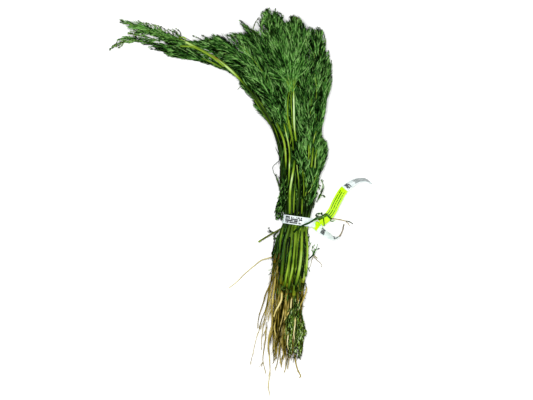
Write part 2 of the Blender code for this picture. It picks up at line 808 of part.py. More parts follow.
def tie_loop(plants):
    """The middle line of the taut loop, as (point, outward direction) in the tie's plane."""
    across, along = tie_axes()
    circles = [(Vector((TWIST_AT, TWIST_HEIGHT)), TIE_THICKNESS)]
    for plant in plants:
        station = 0
        for _ in range(3):
            station -= plant.point(station).dot(along)
        point = plant.point(station)
        circles.append((Vector((point.dot(across), point.z)), STEM_DIAMETER / 2 + GAP + TIE_EASE))
    swollen = []
    for centre, radius in circles:
        for i in range(ARC_SIDES):
            angle = math.tau * i / ARC_SIDES
            outward = Vector((math.cos(angle), math.sin(angle)))
            swollen.append((centre + outward * (radius + TIE_THICKNESS / 2), outward))
    hull = convex_hull_2d([point for point, _ in swollen])
    return [swollen[i] for i in hull]


def strip(name, sections, collection, closed=False):
    """A strip through cross-sections, each given as (middle, half its width, half its thickness)."""
    shape = bmesh.new()
    rings = []
    for middle, wide, thick in sections:
        corners = (middle - wide - thick, middle + wide - thick)
        corners += (middle + wide + thick, middle - wide + thick)
        rings.append([shape.verts.new(c) for c in corners])
    pairs = list(zip(rings, rings[1:]))
    if closed:
        pairs.append((rings[-1], rings[0]))
    for ring, following in pairs:
        for i in range(4):
            j = (i + 1) % 4
            shape.faces.new((ring[i], ring[j], following[j], following[i]))
    if not closed:
        shape.faces.new(rings[0])
        shape.faces.new(rings[-1])
    mesh = bpy.data.meshes.new(name)
    shape.to_mesh(mesh)
    shape.free()
    return closed_object(name, mesh, collection)


def free_end(name, stations, collection):
    """One loose end of the tie, which rolls from lying flat onto its edge."""
    points = [Vector(point) for point, _ in stations]
    sections = []
    for i, (point, (_, roll)) in enumerate(zip(points, stations)):
        ahead = (points[min(i + 1, len(points) - 1)] - points[max(i - 1, 0)]).normalized()
        level = ahead.cross(Vector((0, 0, 1))).normalized()
        upright = level.cross(ahead)
        angle = math.radians(roll)
        wide = level * math.cos(angle) + upright * math.sin(angle)
        thick = ahead.cross(wide)
        sections.append((point, wide * TIE_WIDTH / 2, thick * TIE_THICKNESS / 2))
    return strip(name, sections, collection)


def twist_tie(plants, collection):
    """The loop round the stems, the twist that closes it, and the two free ends, as one piece."""
    across, along = tie_axes()
    sections = []
    for point, outward in tie_loop(plants):
        middle = across * point.x + Vector((0, 0, point.y))
        thick = across * outward.x + Vector((0, 0, outward.y))
        sections.append((middle, along * TIE_WIDTH / 2, thick * TIE_THICKNESS / 2))
    loop = strip("twist_tie", sections, collection, closed=True)
    turns = []
    for i in range(TWIST_SECTIONS):
        share = i / (TWIST_SECTIONS - 1)
        angle = math.tau * TWIST_TURNS * share
        reach = TWIST_AT + TIE_THICKNESS + TWIST_LENGTH * share
        middle = across * reach + Vector((0, 0, TWIST_HEIGHT))
        wide = along * math.cos(angle) + Vector((0, 0, math.sin(angle)))
        thick = across.cross(wide)
        turns.append((middle, wide * TWIST_WIDTH / 2, thick * TWIST_THICKNESS / 2))
    pieces = [
        strip("twist", turns, collection),
        free_end("upper_end", UPPER_END, collection),
        free_end("lower_end", LOWER_END, collection),
    ]
    return joined(loop, pieces)


def leaves_of(plants, space):
    """Grows every leaf: the chosen ones, each plant's last one, then the others of the outer plants."""
    leaves = {plant.name: [] for plant in plants}
    at = {(plant.column, plant.row): plant for plant in plants}
    (column, row, along), route, leaflet = CAUGHT_SPRIG
    chosen = [(column, row, along, route, leaflet, CAUGHT_BARE)]
    chosen += [(*leaf, LOOSE_BARE) for leaf in LOOSE_LEAVES]
    for column, row, along, route, leaflet, bare_share in chosen:
        plant = at[column, row]
        leaf = routed_leaf(plant, along, route, leaflet, bare_share)
        if not leaf_fits(leaf, plant, space):
            raise RuntimeError(f"{plant.name} has no room for its chosen leaf at {along}")
        leaves[plant.name].append(keep_leaf(leaf, plant, space))
    in_turn = sorted(plants, key=lambda p: (not p.seen, -p.height_step))
    for plant in in_turn:
        foot = plant.tip - LAST_LEAF_FOOT
        leaves[plant.name].append(grow_leaf(plant, foot, space, is_last=True))
    for plant in in_turn:
        start = CORE_START[plant.column]
        for i in range(LEAVES_SEEN if plant.seen else 0):
            share = (i + plant.draw.uniform(0.2, 0.8)) / LEAVES_SEEN
            along = start + share * (plant.tip - TOP_LEAF - start)
            leaves[plant.name].append(grow_leaf(plant, along, space))
    return {name: [leaf for leaf in grown if leaf] for name, grown in leaves.items()}


def rest_on_table(thing):
    """Presses what is within a hair of the table flat on it."""
    for vertex in thing.data.vertices:
        if vertex.co.z < FLAT_BELOW:
            vertex.co.z = 0


def centre(things):
    """Moves all of it so that the origin is under the middle of the whole box."""
    corners = [v.co for thing in things for v in thing.data.vertices]
    low = [min(c[i] for c in corners) for i in range(3)]
    high = [max(c[i] for c in corners) for i in range(3)]
    shift = Vector(((low[0] + high[0]) / 2, (low[1] + high[1]) / 2, low[2]))
    for thing in things:
        for vertex in thing.data.vertices:
            vertex.co -= shift


def main():
    for thing in list(bpy.data.objects):
        bpy.data.objects.remove(thing)
    bunch = bpy.data.collections.new("dill_bunch")
    bpy.context.scene.collection.children.link(bunch)
    green = material("dill_green", GREEN, 0.45)
    tan = material("root_tan", TAN, 0.7)
    paper = material("tie_paper", TIE_COLOUR, 0.35)

    plants = all_plants()
    room = room_around(plants)
    space = Space()
    cores = {}
    for plant in plants:
        cores[plant.name] = stem_core(plant, room, bunch)
        space.add_object(core_owner(plant), cores[plant.name])
    tie = twist_tie(plants, bunch)
    tie.data.materials.append(paper)
    space.add_object("twist_tie", tie)

    leaves = leaves_of(plants, space)
    things = [tie]
    for plant in plants:
        blades = [
            leaf.solid(f"{plant.name}_leaf_{i}", bunch)
            for i, leaf in enumerate(leaves[plant.name])
        ]
        stem = joined(cores[plant.name], blades)
        stem.data.materials.clear()
        stem.data.materials.append(green)
        things.append(stem)
    roots = [(plant, *main_root(plant, space, bunch)) for plant in plants]
    for plant, body, points in roots:
        below = with_side_root(plant, body, points, space, bunch)
        below.data.materials.clear()
        below.data.materials.append(tan)
        things.append(below)
    for thing in things:
        rest_on_table(thing)
    centre(things)


if __name__ == "__main__":
    main()
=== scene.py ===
"""Looks of the dill bunch: stalks, thread-like leaves, roots and the twist tie.

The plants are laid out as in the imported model: from the middle of the tie, +Y along the stems
towards the leaves, +X to the right, and the table at z = 0. SHIFT says where that point is in the
row's frame. All sizes are in metres, apart from the tables in millimetres that say so.
"""

import math
import random

import bpy
import numpy as np
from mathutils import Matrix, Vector
from mathutils.geometry import convex_hull_2d


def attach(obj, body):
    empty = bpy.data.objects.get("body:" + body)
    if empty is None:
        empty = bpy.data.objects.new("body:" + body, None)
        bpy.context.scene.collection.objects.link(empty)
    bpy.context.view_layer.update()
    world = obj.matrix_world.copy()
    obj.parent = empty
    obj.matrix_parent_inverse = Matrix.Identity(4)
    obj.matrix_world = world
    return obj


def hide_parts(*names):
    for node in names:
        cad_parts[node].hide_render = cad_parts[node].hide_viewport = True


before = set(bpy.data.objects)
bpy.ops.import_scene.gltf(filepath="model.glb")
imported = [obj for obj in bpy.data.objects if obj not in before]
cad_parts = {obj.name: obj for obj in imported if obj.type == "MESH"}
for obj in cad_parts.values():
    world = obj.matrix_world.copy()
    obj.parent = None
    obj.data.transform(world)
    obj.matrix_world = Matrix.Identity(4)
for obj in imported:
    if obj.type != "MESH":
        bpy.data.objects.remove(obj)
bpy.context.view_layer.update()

MM = 0.001
# The middle of the tie in the row's frame.
SHIFT = np.array([0.06273, -0.01693, 0.0])

# Plants in each column, from the left of the bunch to the right.
COLUMN_ROWS = (2, 3, 4, 3, 4, 3, 4, 3, 2)
MIDDLE_COLUMN = (len(COLUMN_ROWS) - 1) / 2
MIDDLE_ROW = (max(COLUMN_ROWS) - 1) / 2
BRANCH_COLUMNS = 2

# The bunch's middle line below the leaves: y, then x, then the distance between columns.
SPINE = (
    (-0.190, -0.0200, 0.0036),
    (-0.136, -0.0170, 0.0046),
    (-0.100, -0.0135, 0.0042),
    (-0.065, -0.0090, 0.0041),
    (-0.030, -0.0060, 0.0038),
    (0.000, 0.0000, 0.0031),
    (0.0225, 0.0022, 0.0037),
    (0.066, 0.0048, 0.0049),
)
SPINE_STEP = 0.004
# Where each column goes above the neck: the x and y of its last leaf's tip, its heading at the neck
# and at the tip in degrees from +Y towards +X, and how far each heading is held.
FAN = (
    (-0.203, 0.191, -8, -93, 0.074, 0.120),
    (-0.156, 0.213, -10, -84, 0.057, 0.097),
    (-0.103, 0.198, -8, -78, 0.053, 0.068),
    (-0.059, 0.216, -7, -42, 0.055, 0.055),
    (-0.034, 0.233, -5, -20, 0.058, 0.055),
    (-0.018, 0.227, -3, -12, 0.055, 0.055),
    (-0.004, 0.228, -1, -8, 0.052, 0.055),
    (0.017, 0.213, 2, -6, 0.050, 0.050),
    (0.028, 0.190, 3, -1, 0.045, 0.045),
)
NECK = SPINE[-1][0]
FAN_POINTS = 60
# The plant whose bright stalk lies on top of the bent branch: its column, row, neck and fan.
STALK_PLANT = (1, 2)
STALK_NECK = 0.030
STALK = (-0.194, 0.2195, -6, -78, 0.106, 0.119)
# The plant whose pale stalk lies bare in the middle of the leaves, up to its light fan of leaves.
PALE_PLANT = (4, 3)

# Along a plant, measured from the tie: height of the lowest row's axis, and distance between rows.
STEM_DIAMETER = 0.0038
SOLID_TIE_THICKNESS = 0.0008
GAP = 0.0004
TIE_EASE = 0.0004
TIE_FLOOR = STEM_DIAMETER / 2 + GAP + TIE_EASE + SOLID_TIE_THICKNESS
ROW_HEIGHTS = (
    (-0.190, 0.0016, 0.0030),
    (-0.136, 0.0021, 0.0046),
    (-0.100, 0.0024, 0.0056),
    (-0.065, 0.0024, 0.0064),
    (-0.030, 0.0026, 0.0063),
    (0.000, TIE_FLOOR, 0.0060),
    (0.030, 0.0032, 0.0065),
    (0.070, 0.0036, 0.0082),
    (0.110, 0.0030, 0.0100),
    (0.160, 0.0021, 0.0104),
    (0.210, 0.0019, 0.0084),
    (0.260, 0.0017, 0.0064),
    (0.340, 0.0014, 0.0050),
)
# Between these distances from the tie, the branch's plants sink to lie straight on the table.
BRANCH_SINKS = (0.080, 0.180)
HEADING_REACH = 0.003
# Nothing comes nearer to the table than this.
LOWEST = 0.0004

# Radius of a bare stem, measured along the plant from the tie.
STEM_RADII = (
    (-0.090, 0.0023),
    (0.000, STEM_DIAMETER / 2),
    (0.090, 0.0016),
    (0.200, 0.0011),
    (0.340, 0.0007),
)
STEM_STEP = 0.004
# The stems look this much slimmer than their solids, so that dark gaps show between them.
STEM_SLIM = 0.92
# Tones of the stems on top of the bunch, from the left: below the tie and above it.
STEM_TONES = (
    (0.22, 0.06), (0.5, 0.1), (0.34, 0.06), (0.5, -0.05), (0.47, 0.1), (0.36, 0), (0.56, 0.06),
    (0.4, 0), (0.68, 0.05),
)
LEAVES_START = (0.088, 0.086, 0.080, 0.074, 0.056, 0.036, 0.024, 0.014, 0.008)
STEM_BASE = (-0.044, -0.052, -0.068, -0.074, -0.078, -0.076, -0.080, -0.078, -0.074)
BASE_SCATTER = 0.006
FIRST_SEED = 100
# How much lower each hidden row ends, and how much the way outwards counts sideways, against up.
ROW_DROP = 0.011
ROW_DROP_SPREAD = (0.6, 1.2)
OUTWARD_SHARE = 0.35

# The outline that the leaves keep within, seen from above, in millimetres, clockwise from the
# neck's left side.
LEAF_OUTLINE = (
    (-10, 10), (-18, 50), (-21, 80), (-29, 106), (-40, 116), (-47, 125), (-48, 133), (-52, 140),
    (-63, 147), (-62, 153), (-69, 161), (-78, 166), (-91, 169), (-100, 175), (-125, 178), (-142, 181),
    (-145, 186), (-158, 187), (-167, 191), (-185, 193), (-197, 190), (-206, 189), (-203, 198),
    (-188, 204), (-176, 203), (-182, 209), (-196, 218), (-198, 223), (-182, 221), (-164, 219),
    (-154, 217), (-146, 213), (-132, 211), (-129, 203), (-118, 198), (-101, 199), (-92, 205),
    (-68, 206), (-56, 206), (-64, 220), (-56, 213), (-47, 209), (-41, 212), (-42, 224), (-32, 233),
    (-23, 229), (-14, 224), (-17, 218), (-10, 218), (-6, 225), (5, 222), (10, 213), (16, 211),
    (26, 212), (31, 203), (32, 190), (35, 184), (38, 170), (40, 155), (38, 144), (33, 133), (32, 118),
    (27, 104), (28, 91), (33, 87), (35, 75), (31, 60), (26, 52), (23, 36), (19, 12),
)
# The same outline in metres.
OUTLINE = [(x / 1000, y / 1000) for x, y in LEAF_OUTLINE]

# Leaves: how many each plant grows, on the top of the bunch, on its other sides and inside it, and
# the sizes of ribs, pinnae and threads.
LEAVES_ON_TOP = 34
LEAVES_SEEN = 16
LEAVES_HIDDEN = 6
RIB_POINTS = 12
RIB_RADIUS = 0.00060
LEAF_LENGTH = (0.040, 0.066)
LAST_LEAF = 0.046
LAST_PINNA = 0.0130
LAST_TONE = 0.42
# A rib that leaves the outline after so few of its points has no leaf.
SHORTEST_RIB = 4
PINNA_LENGTH = 0.0195
PINNA_PAIRS = 10
PINNA_ANGLE = 23
PINNA_RADIUS = 0.00044
PINNA_RINGS = 4
THREAD_PAIRS = 2
THREAD_LENGTH = 0.0100
THREAD_ANGLE = 13
THREAD_RADIUS = 0.00038
# How much darker the threads are than the pinnae that they grow on, and how far their tones spread.
THREAD_DARKER = 0.17
THREAD_UNEVEN = 0.36
THREAD_RINGS = 3
# How far the angles of pinnae and threads spread, in radians, and how they roll about their stalk.
PINNA_ANGLE_SPREAD = 0.14
PINNA_ROLL = 0.5
THREAD_ANGLE_SPREAD = 0.12
THREAD_ROLL = 0.7
# How far their tips turn outwards, and how far that spreads.
PINNA_TURN = (0.12, 0.12)
THREAD_TURN = (0.06, 0.20)
# The shortest and the longest of them, against the usual length.
PINNA_LENGTHS = (0.7, 1.15)
THREAD_LENGTHS = (0.6, 1.25)
# How much ribs narrow to their tips, and what is left of a pinna's and a thread's radius at the tip.
RIB_TAPER = 0.72
PINNA_TIP = 0.5
THREAD_TIP = 0.45
# Painted light and shade: a strand is this much lighter for growing towards its leaf's face, darker
# away.
PAINTED_FACE_LIGHT = 0.12
# Pinnae end this far inside the outline, and fine threads cross it.
EDGE_MARGIN = 0.004
# Beyond this, at the tip of the bent branch, the leaves are sparser.
BRANCH_TIP = -0.150
# Painted shade and light by depth: a leaf that stands out this far from its plant is neither darker
# nor lighter for it. Further in or out its tone changes by this much over this distance, within limits.
STAND_OUT = 0.0060
PAINTED_DEPTH_TONE = 0.34
DEPTH_REACH = 0.006
DEPTH_LIMITS = (-1, 0.45)
# Leaf tones: the middle, its spread, and painted shade on the bunch's top, its other sides and inside
# it.
LEAF_TONE = 0.40
LEAF_TONE_SPREAD = 0.11
INNER_LEAF_SHADE = (0.0, -0.10, -0.30)
# Some leaves have a pale rib: the share of them, and how much lighter it is.
PALE_SHARE = 0.12
PALE_RIB = 0.25
# The bright stalk's plant has only these leaves, from this far below its top.
STALK_LEAVES = 8
STALK_LEAVES_FROM = 0.075
# Listed leaves: the distance between their pairs of pinnae, the fewest and the most pairs.
LAID_PAIR_GAP = 0.0028
LAID_PAIRS = (3, 14)

# The stems' sway and unevenness, and how far from the tie its grip is felt.
SWAY = 0.0004
SWAY_RATE = 80
STEM_UNEVEN = 0.06
STEM_UNEVEN_RATE = 55
TIE_GRIP = 0.012
STEM_SIDES = 10
STEM_RIDGE = 0.07
# Tones below and above the tie, painted darker as shade, of stems seen but not on top, and of hidden
# ones.
SHADED_SEEN_STEM_TONES = (-0.14, -0.22)
SHADED_HIDDEN_STEM_TONES = (-0.35, -0.35)
# The foot of a stem is brownish over this length.
FOOT_LENGTH = 0.012
FOOT_DRY = 0.35
# Thin stalks beside a stem: how many, how far from its middle, and their radii.
SIDE_STALKS = 2
SIDE_STALK_AWAY = 0.0019
SIDE_STALK_RADII = (0.0006, 0.0010)
# The bright stalk on the branch, each value with the x where it holds: its least and its greatest
# radius, its tone, where it has the stem's own tone again, and how much lower it lies.
STALK_LEAST = ((-0.122, 0.0013), (-0.070, 0.0015), (-0.050, 0.00115))
STALK_MOST = ((-0.132, 0.0006), (-0.122, 0.0050))
# Where bare, its high tone is partly painted highlight; its dark far end is painted shade under leaves.
STALK_TONES = ((-0.134, 0.25), (-0.124, 0.82), (-0.070, 0.84), (-0.058, 0.35))
STALK_OWN_TONE_AT = -0.030
STALK_LOWERED = ((-0.142, 0.0030), (-0.126, 0))
# Its brown joint: x, reach and dryness.
JOINT = (-0.0895, 0.0042, 0.85)
# Nothing is laid over the bright stalk from this far from the tie to this far below its top. Its
# line is read in steps and kept clear to a width. Listed stalks are kept clear by a margin.
CLEAR_FROM = 0.120
CLEAR_END = 0.078
CLEAR_STEP = 0.0015
CLEAR_WIDTH = 0.0020
CLEAR_MARGIN = 0.0004
CLEAR_STEP_IN_MM = 1.5
# What lies this far below a bare stalk doesn't cover it.
CLEAR_BELOW = 0.001

# Threads along the stems: how many on top of the bunch and elsewhere, and their sizes.
STRAYS_ON_TOP = 16
STRAYS_BELOW = 5
STRAY_RINGS = 10
STRAY_LENGTHS = (0.012, 0.038)
STRAY_RADII = (0.00028, 0.00050)
# Dark threads that close the gaps as painted shade: how many, the share among roots' feet, and sizes.
UNDERGROWTH = 70
UNDERGROWTH_LOW_SHARE = 0.15
UNDERGROWTH_RINGS = 5
UNDERGROWTH_LENGTHS = (0.012, 0.026)
UNDERGROWTH_AWAY = (0.0012, 0.0045)
UNDERGROWTH_RADIUS = 0.0006
# Scraps round the foot of a stem: how many on top of the bunch and elsewhere, and their sizes.
CROWN_ON_TOP = 22
CROWN_BELOW = 8
CROWN_RINGS = 5
CROWN_LENGTHS = (0.004, 0.010)
CROWN_AWAY = 0.0016
CROWN_RADIUS = 0.0005

# Leaves laid one by one, by the column and row of their plant: the longest pinna in millimetres,
# the tone, the dryness, and points in millimetres from the tie's middle.
PLUMES = {
    (0, 0): (
        (5, 0.22, 0.1, (-68, 161, 16), (-82, 168, 14), (-96, 172.5, 12), (-108, 176, 11)),
        (6, 0.22, 0.05, (-70, 163, 10), (-86, 170, 9), (-102, 175, 8), (-120, 179, 7)),
        (6, 0.26, 0.1, (-110, 181, 8), (-126, 184, 7), (-142, 187, 6), (-156, 190, 6)),
        (6, 0.2, 0.02, (-15, 34, 12), (-17.5, 24, 13), (-19, 14, 13), (-19, 4, 12)),
        (6, 0.26, 0.04, (-16, 20, 8), (-21, 12, 8), (-22.5, 6, 8), (-21, 1, 8)),
        (6, 0.14, 0, (-14, 28, 9), (-16.5, 18, 9), (-17.5, 8, 9), (-16.5, 1, 9)),
        (5, 0.3, 0.06, (-16, 26, 14), (-20, 17, 14), (-21, 9, 13), (-19, 3, 12)),
        (6, 0.12, 0, (-15, 52, 12), (-17, 42, 11), (-17.5, 32, 10), (-16.5, 24, 10)),
        (5, 0.22, 0.1, (-18, -10, 10), (-24, -13, 10), (-29, -12, 10), (-30.5, -9, 10)),
        (4, 0.2, 0.1, (-20, -12, 10), (-24, -17, 9), (-24.5, -23, 8)),
        (3, 0.2, 0.2, (-18, -22, 10), (-22, -20, 10), (-26, -17, 10)),
        (4, 0.2, 0.5, (-22, -28, 9), (-25, -33, 9), (-27, -41, 9)),
    ),
    (0, 1): (
        (7, 0.38, 0.1, (-152, 195, 10), (-172, 197, 9), (-188, 198, 8), (-198, 194, 7), (-205, 189, 6)),
        (5, 0.4, 0.1, (-180, 196.5, 8), (-194, 196, 7), (-206.5, 188.5, 6)),
        (5, 0.36, 0.05, (-176, 199, 8), (-188, 202, 8), (-197, 199, 7)),
        (7, 0.3, 0.1, (-106, 184, 12), (-122, 183, 11), (-136, 183, 10), (-144, 184, 9)),
        (6, 0.36, 0.05, (-104, 181, 12), (-114, 180, 11), (-126, 182, 10)),
        (6, 0.34, 0.05, (-92, 176, 12), (-106, 182, 11), (-120, 185, 10), (-134, 187, 9)),
        (5, 0.28, 0.05, (-72, 165, 18), (-86, 172, 16), (-100, 176, 14), (-112, 179, 12)),
        (4, 0.2, 0.05, (-66, 158, 18), (-76, 164.5, 16), (-88, 169, 14)),
        (6, 0.34, 0.05, (-88, 172, 13), (-104, 178, 12), (-120, 182, 11), (-138, 185, 10)),
        (6, 0.3, 0.05, (-80, 170, 12), (-96, 177, 11), (-112, 180, 10), (-130, 182, 9)),
        (6, 0.22, 0.02, (-17, 32, 14), (-20, 22, 14), (-22, 12, 13), (-21, 4, 12)),
        (6, 0.16, 0.02, (-14, 34, 17), (-16, 24, 17), (-18, 14, 16), (-18, 4, 16)),
        (5, 0.24, 0.06, (-13, 24, 18), (-15, 14, 18.5), (-15, 6, 18.5), (-14.5, 0, 18)),
        (5, 0.18, 0.02, (-13, 30, 18.5), (-14.5, 22, 18.5), (-15.5, 12, 18)),
        (4, 0.2, 0.1, (-14.5, 62, 21), (-15.5, 52, 19), (-16.5, 42, 18)),
        (5, 0.22, 0.04, (-14, 48, 20), (-15.5, 38, 18.5), (-16, 28, 17.5)),
        (4, 0.3, 0.15, (-17, 34, 14), (-20, 42, 16), (-23, 50, 18)),
        (5, 0.24, 0.45, (-18, -16, 14), (-21, -26, 13), (-24, -36, 12), (-25, -44, 11)),
        (5, 0.3, 0.5, (-16, -20, 16), (-19, -30, 15), (-21, -40, 14), (-22, -50, 13)),
    ),
    (1, 1): (
        (4, 0.42, 0.15, (-150, 197, 12), (-164, 202, 11), (-178, 205, 9), (-186, 207, 8)),
        (10, 0.36, 0.05, (-124, 191, 14), (-142, 193, 13), (-158, 193, 12), (-170, 197, 10)),
        (8, 0.34, 0.05, (-150, 198, 12), (-166, 199, 11), (-180, 201, 9), (-192, 200, 8)),
        (8, 0.36, 0.05, (-110, 185, 13), (-124, 187, 12), (-138, 189, 11), (-150, 191, 10)),
        (8, 0.34, 0.05, (-118, 189, 13), (-134, 195, 12), (-150, 200, 11)),
        (9, 0.34, 0.05, (-108, 187, 15), (-122, 190, 14), (-138, 190, 13), (-152, 191, 12)),
        (7, 0.22, 0.05, (-92, 180, 14), (-106, 187, 13), (-120, 192, 12), (-136, 197, 12)),
        (6, 0.16, 0, (-78, 172, 13), (-92, 179, 12), (-108, 185, 11), (-124, 188, 10)),
        (4, 0.15, 0.1, (-11, 56, 24), (-11.5, 46, 23), (-12.5, 34, 21.5)),
        (4, 0.12, 0.1, (-10, 40, 23), (-10.5, 30, 21.5), (-11.5, 18, 20.5)),
    ),
    (1, 2): (
        (
            5, 0.5, 0.1, (-124, 197, 22), (-140, 201, 20), (-158, 207, 18), (-176, 214, 15),
            (-196, 221.5, 12),
        ),
        (4, 0.42, 0.05, (-142, 199, 18), (-156, 203, 16), (-172, 210, 14), (-184, 215, 12)),
        (9, 0.38, 0.05, (-126, 197, 18), (-136, 202, 16), (-146, 206, 14), (-152, 212, 13)),
        (6, 0.32, 0.05, (-124, 199, 16), (-130, 203, 15), (-135, 208, 14)),
        (8, 0.42, 0.05, (-122, 193, 19), (-134, 197, 18), (-146, 202, 16), (-158, 206, 14)),
        (8, 0.4, 0.05, (-122, 196, 20), (-136, 200, 18), (-150, 205, 16), (-164, 209, 14)),
        (6, 0.4, 0.05, (-140, 204, 17), (-154, 208, 15), (-168, 211, 14), (-182, 217, 12)),
    ),
    (2, 3): (
        (9, 0.34, 0.05, (-56, 170, 30), (-68, 186, 29), (-80, 197, 27), (-90, 203, 25)),
        (9, 0.28, 0.05, (-50, 176, 28), (-62, 190, 27), (-72, 202, 26)),
        (9, 0.3, 0.05, (-70, 176, 27), (-86, 190, 25), (-99, 197, 23)),
        (9, 0.24, 0.05, (-62, 176, 24), (-76, 190, 22), (-84, 201, 21)),
        (9, 0.24, 0.05, (-78, 178, 22), (-92, 189, 20), (-104, 196, 18)),
        (9, 0.35, 0.25, (-62, 182, 30), (-76, 194, 27), (-86, 202, 24)),
        (8, 0.35, 0.35, (-76, 182, 28), (-90, 190, 25), (-98, 196, 22)),
        (2, 0.25, 0.2, (-98, 193, 22), (-104, 198, 21), (-115, 203.5, 19)),
        (2, 0.25, 0.2, (-94, 196, 22), (-98, 200, 21), (-105, 204, 19)),
    ),
    (3, 2): (
        (9, 0.36, 0.05, (-44, 180, 33), (-54, 193, 32), (-62, 204, 30)),
        (1.5, 0.4, 0.35, (-48, 209, 32), (-45, 217, 31), (-41, 222.5, 30)),
        (3, 0.25, 0.1, (-46, 206, 33), (-54, 211, 32), (-61, 215, 30)),
        (4, 0.25, 0.1, (-38, 200, 34), (-50, 209, 34), (-63, 219.5, 32)),
        (9, 0.35, 0.1, (-52, 188, 32), (-60, 197, 30), (-70, 204, 27)),
        (3, 0.14, 0.05, (-4.5, 22, 22.5), (-4.5, 31, 23.5), (-3, 42, 25)),
        (3, 0.2, 0.05, (0, 14, 22.5), (0.5, 24, 23.5), (0, 34, 24.5)),
    ),
    (4, 3): (
        (2, 0.26, 0.1, (-27, 224, 34), (-21, 227.5, 33), (-14, 223.5, 32)),
        (2, 0.26, 0.1, (-30, 224, 34), (-31.5, 229, 33), (-29.5, 233.5, 32)),
        (1.5, 0.26, 0.1, (-25, 224, 34), (-24, 229, 33), (-23, 232.5, 32)),
        (2, 0.26, 0.1, (-37, 218, 34), (-38.5, 225, 33), (-37, 230, 32)),
        (10, 0.38, 0.05, (-30, 195, 38), (-38, 211, 36), (-33, 230, 33)),
        (10, 0.34, 0.05, (-28, 196, 38), (-30, 212, 37), (-23, 227, 34)),
        (7, 0.3, 0.05, (-26, 198, 36), (-22, 212, 36), (-16, 221, 33)),
    ),
    (5, 2): (
        (4, 0.18, 0.05, (1, 34, 24), (3, 44, 25.5), (4.5, 56, 27)),
        (4, 0.16, 0.05, (4, 22, 23), (5, 33, 24.5), (5.5, 45, 26)),
    ),
    (6, 3): (
        (2, 0.36, 0.3, (-1, 216, 34), (-4, 221, 33), (-8, 223, 32)),
        (2, 0.4, 0.4, (3, 215, 34), (0, 221, 33), (-4, 224.5, 32)),
        (2, 0.36, 0.2, (7, 212, 34), (5, 218, 33), (1, 222, 32)),
        (9, 0.42, 0.05, (-8, 196, 38), (-6, 210, 37), (-5, 223, 34)),
        (9, 0.45, 0.05, (-4, 194, 38), (0, 208, 37), (3, 220, 34)),
        (5, 0.2, 0.05, (8, 14, 23), (10, 26, 24), (12, 40, 25)),
        (4, 0.24, 0.05, (16, -1.5, 23), (21, 2, 23), (24, 6.5, 22.5), (27.5, 8, 22)),
        (4, 0.55, 0.05, (22, 2, 22.5), (28, 3.5, 22), (34, 5.5, 21), (37.5, 3, 20)),
    ),
    (7, 2): (
        (2, 0.34, 0.2, (27, 197, 26), (23.5, 206, 26), (15, 211.5, 25)),
        (2, 0.3, 0.2, (25, 196, 26), (20, 205, 26), (17, 207.5, 25)),
        (5, 0.16, 0.05, (11, 10, 20), (13, 22, 21), (16, 34, 22)),
    ),
    (8, 1): (
        (2, 0.3, 0.25, (30.5, 186, 22), (31.5, 197, 22), (29, 206, 21), (24.5, 212, 20)),
        (2, 0.25, 0.1, (34, 172, 20), (35.5, 180, 20), (35, 187, 19)),
        (2, 0.3, 0.1, (36, 162, 20), (38, 170, 20), (38.5, 176, 19)),
        (8, 0.36, 0.05, (20, 176, 28), (24, 192, 28), (27, 208, 26)),
        (7, 0.32, 0.05, (24, 160, 26), (30, 176, 26), (31, 192, 24)),
        (6, 0.32, 0.05, (24, 60, 20), (29, 70, 20), (31, 82, 19)),
        (5, 0.3, 0.1, (22, 20, 16), (26, 28, 17), (29, 36, 17), (27.5, 45, 17)),
        (3, 0.28, 0.1, (24, 26, 16), (28, 28, 17), (31, 26, 17)),
        (3, 0.35, 0.2, (26, 34, 17), (23, 37, 18), (20, 37, 18)),
        (3, 0.35, 0.2, (27, 38, 17), (24.5, 39, 18), (21, 41, 18)),
        (5, 0.45, 0.15, (12, 8, 15), (15, 13, 16), (18, 18, 16)),
        (5, 0.3, 0.1, (15, 18, 16), (20, 24, 16), (22, 30, 16)),
        (4, 0.22, 0.05, (15, -41, 17), (18.5, -37, 17), (17, -32, 18), (19, -28, 18)),
        (4, 0.22, 0.05, (18, -38, 17), (21.5, -32, 17), (25, -31, 17)),
    ),
}
# The light fan at the end of the pale stalks: where it starts, and the headings and lengths of its
# leaves, in degrees and millimetres.
FAN_FOOT = (-0.0050, 0.1460, 0.0465)
FAN_LEAVES = (
    (-64, 28), (-48, 40), (-34, 50), (-20, 56), (-8, 58), (4, 58), (15, 52), (26, 44), (40, 28),
)
# The tuft at its foot: how many strands, their headings, lengths and radius, and their tone.
TUFT = 90
TUFT_SHIFT = (-0.001, -0.003, 0.002)
TUFT_HEADINGS = (-38, 30)
TUFT_LENGTHS = (0.007, 0.015)
TUFT_RADIUS = 0.0007
TUFT_TONE = 0.72
# One strand in this many has a stalk's brighter green.
TUFT_LIVELY = 3
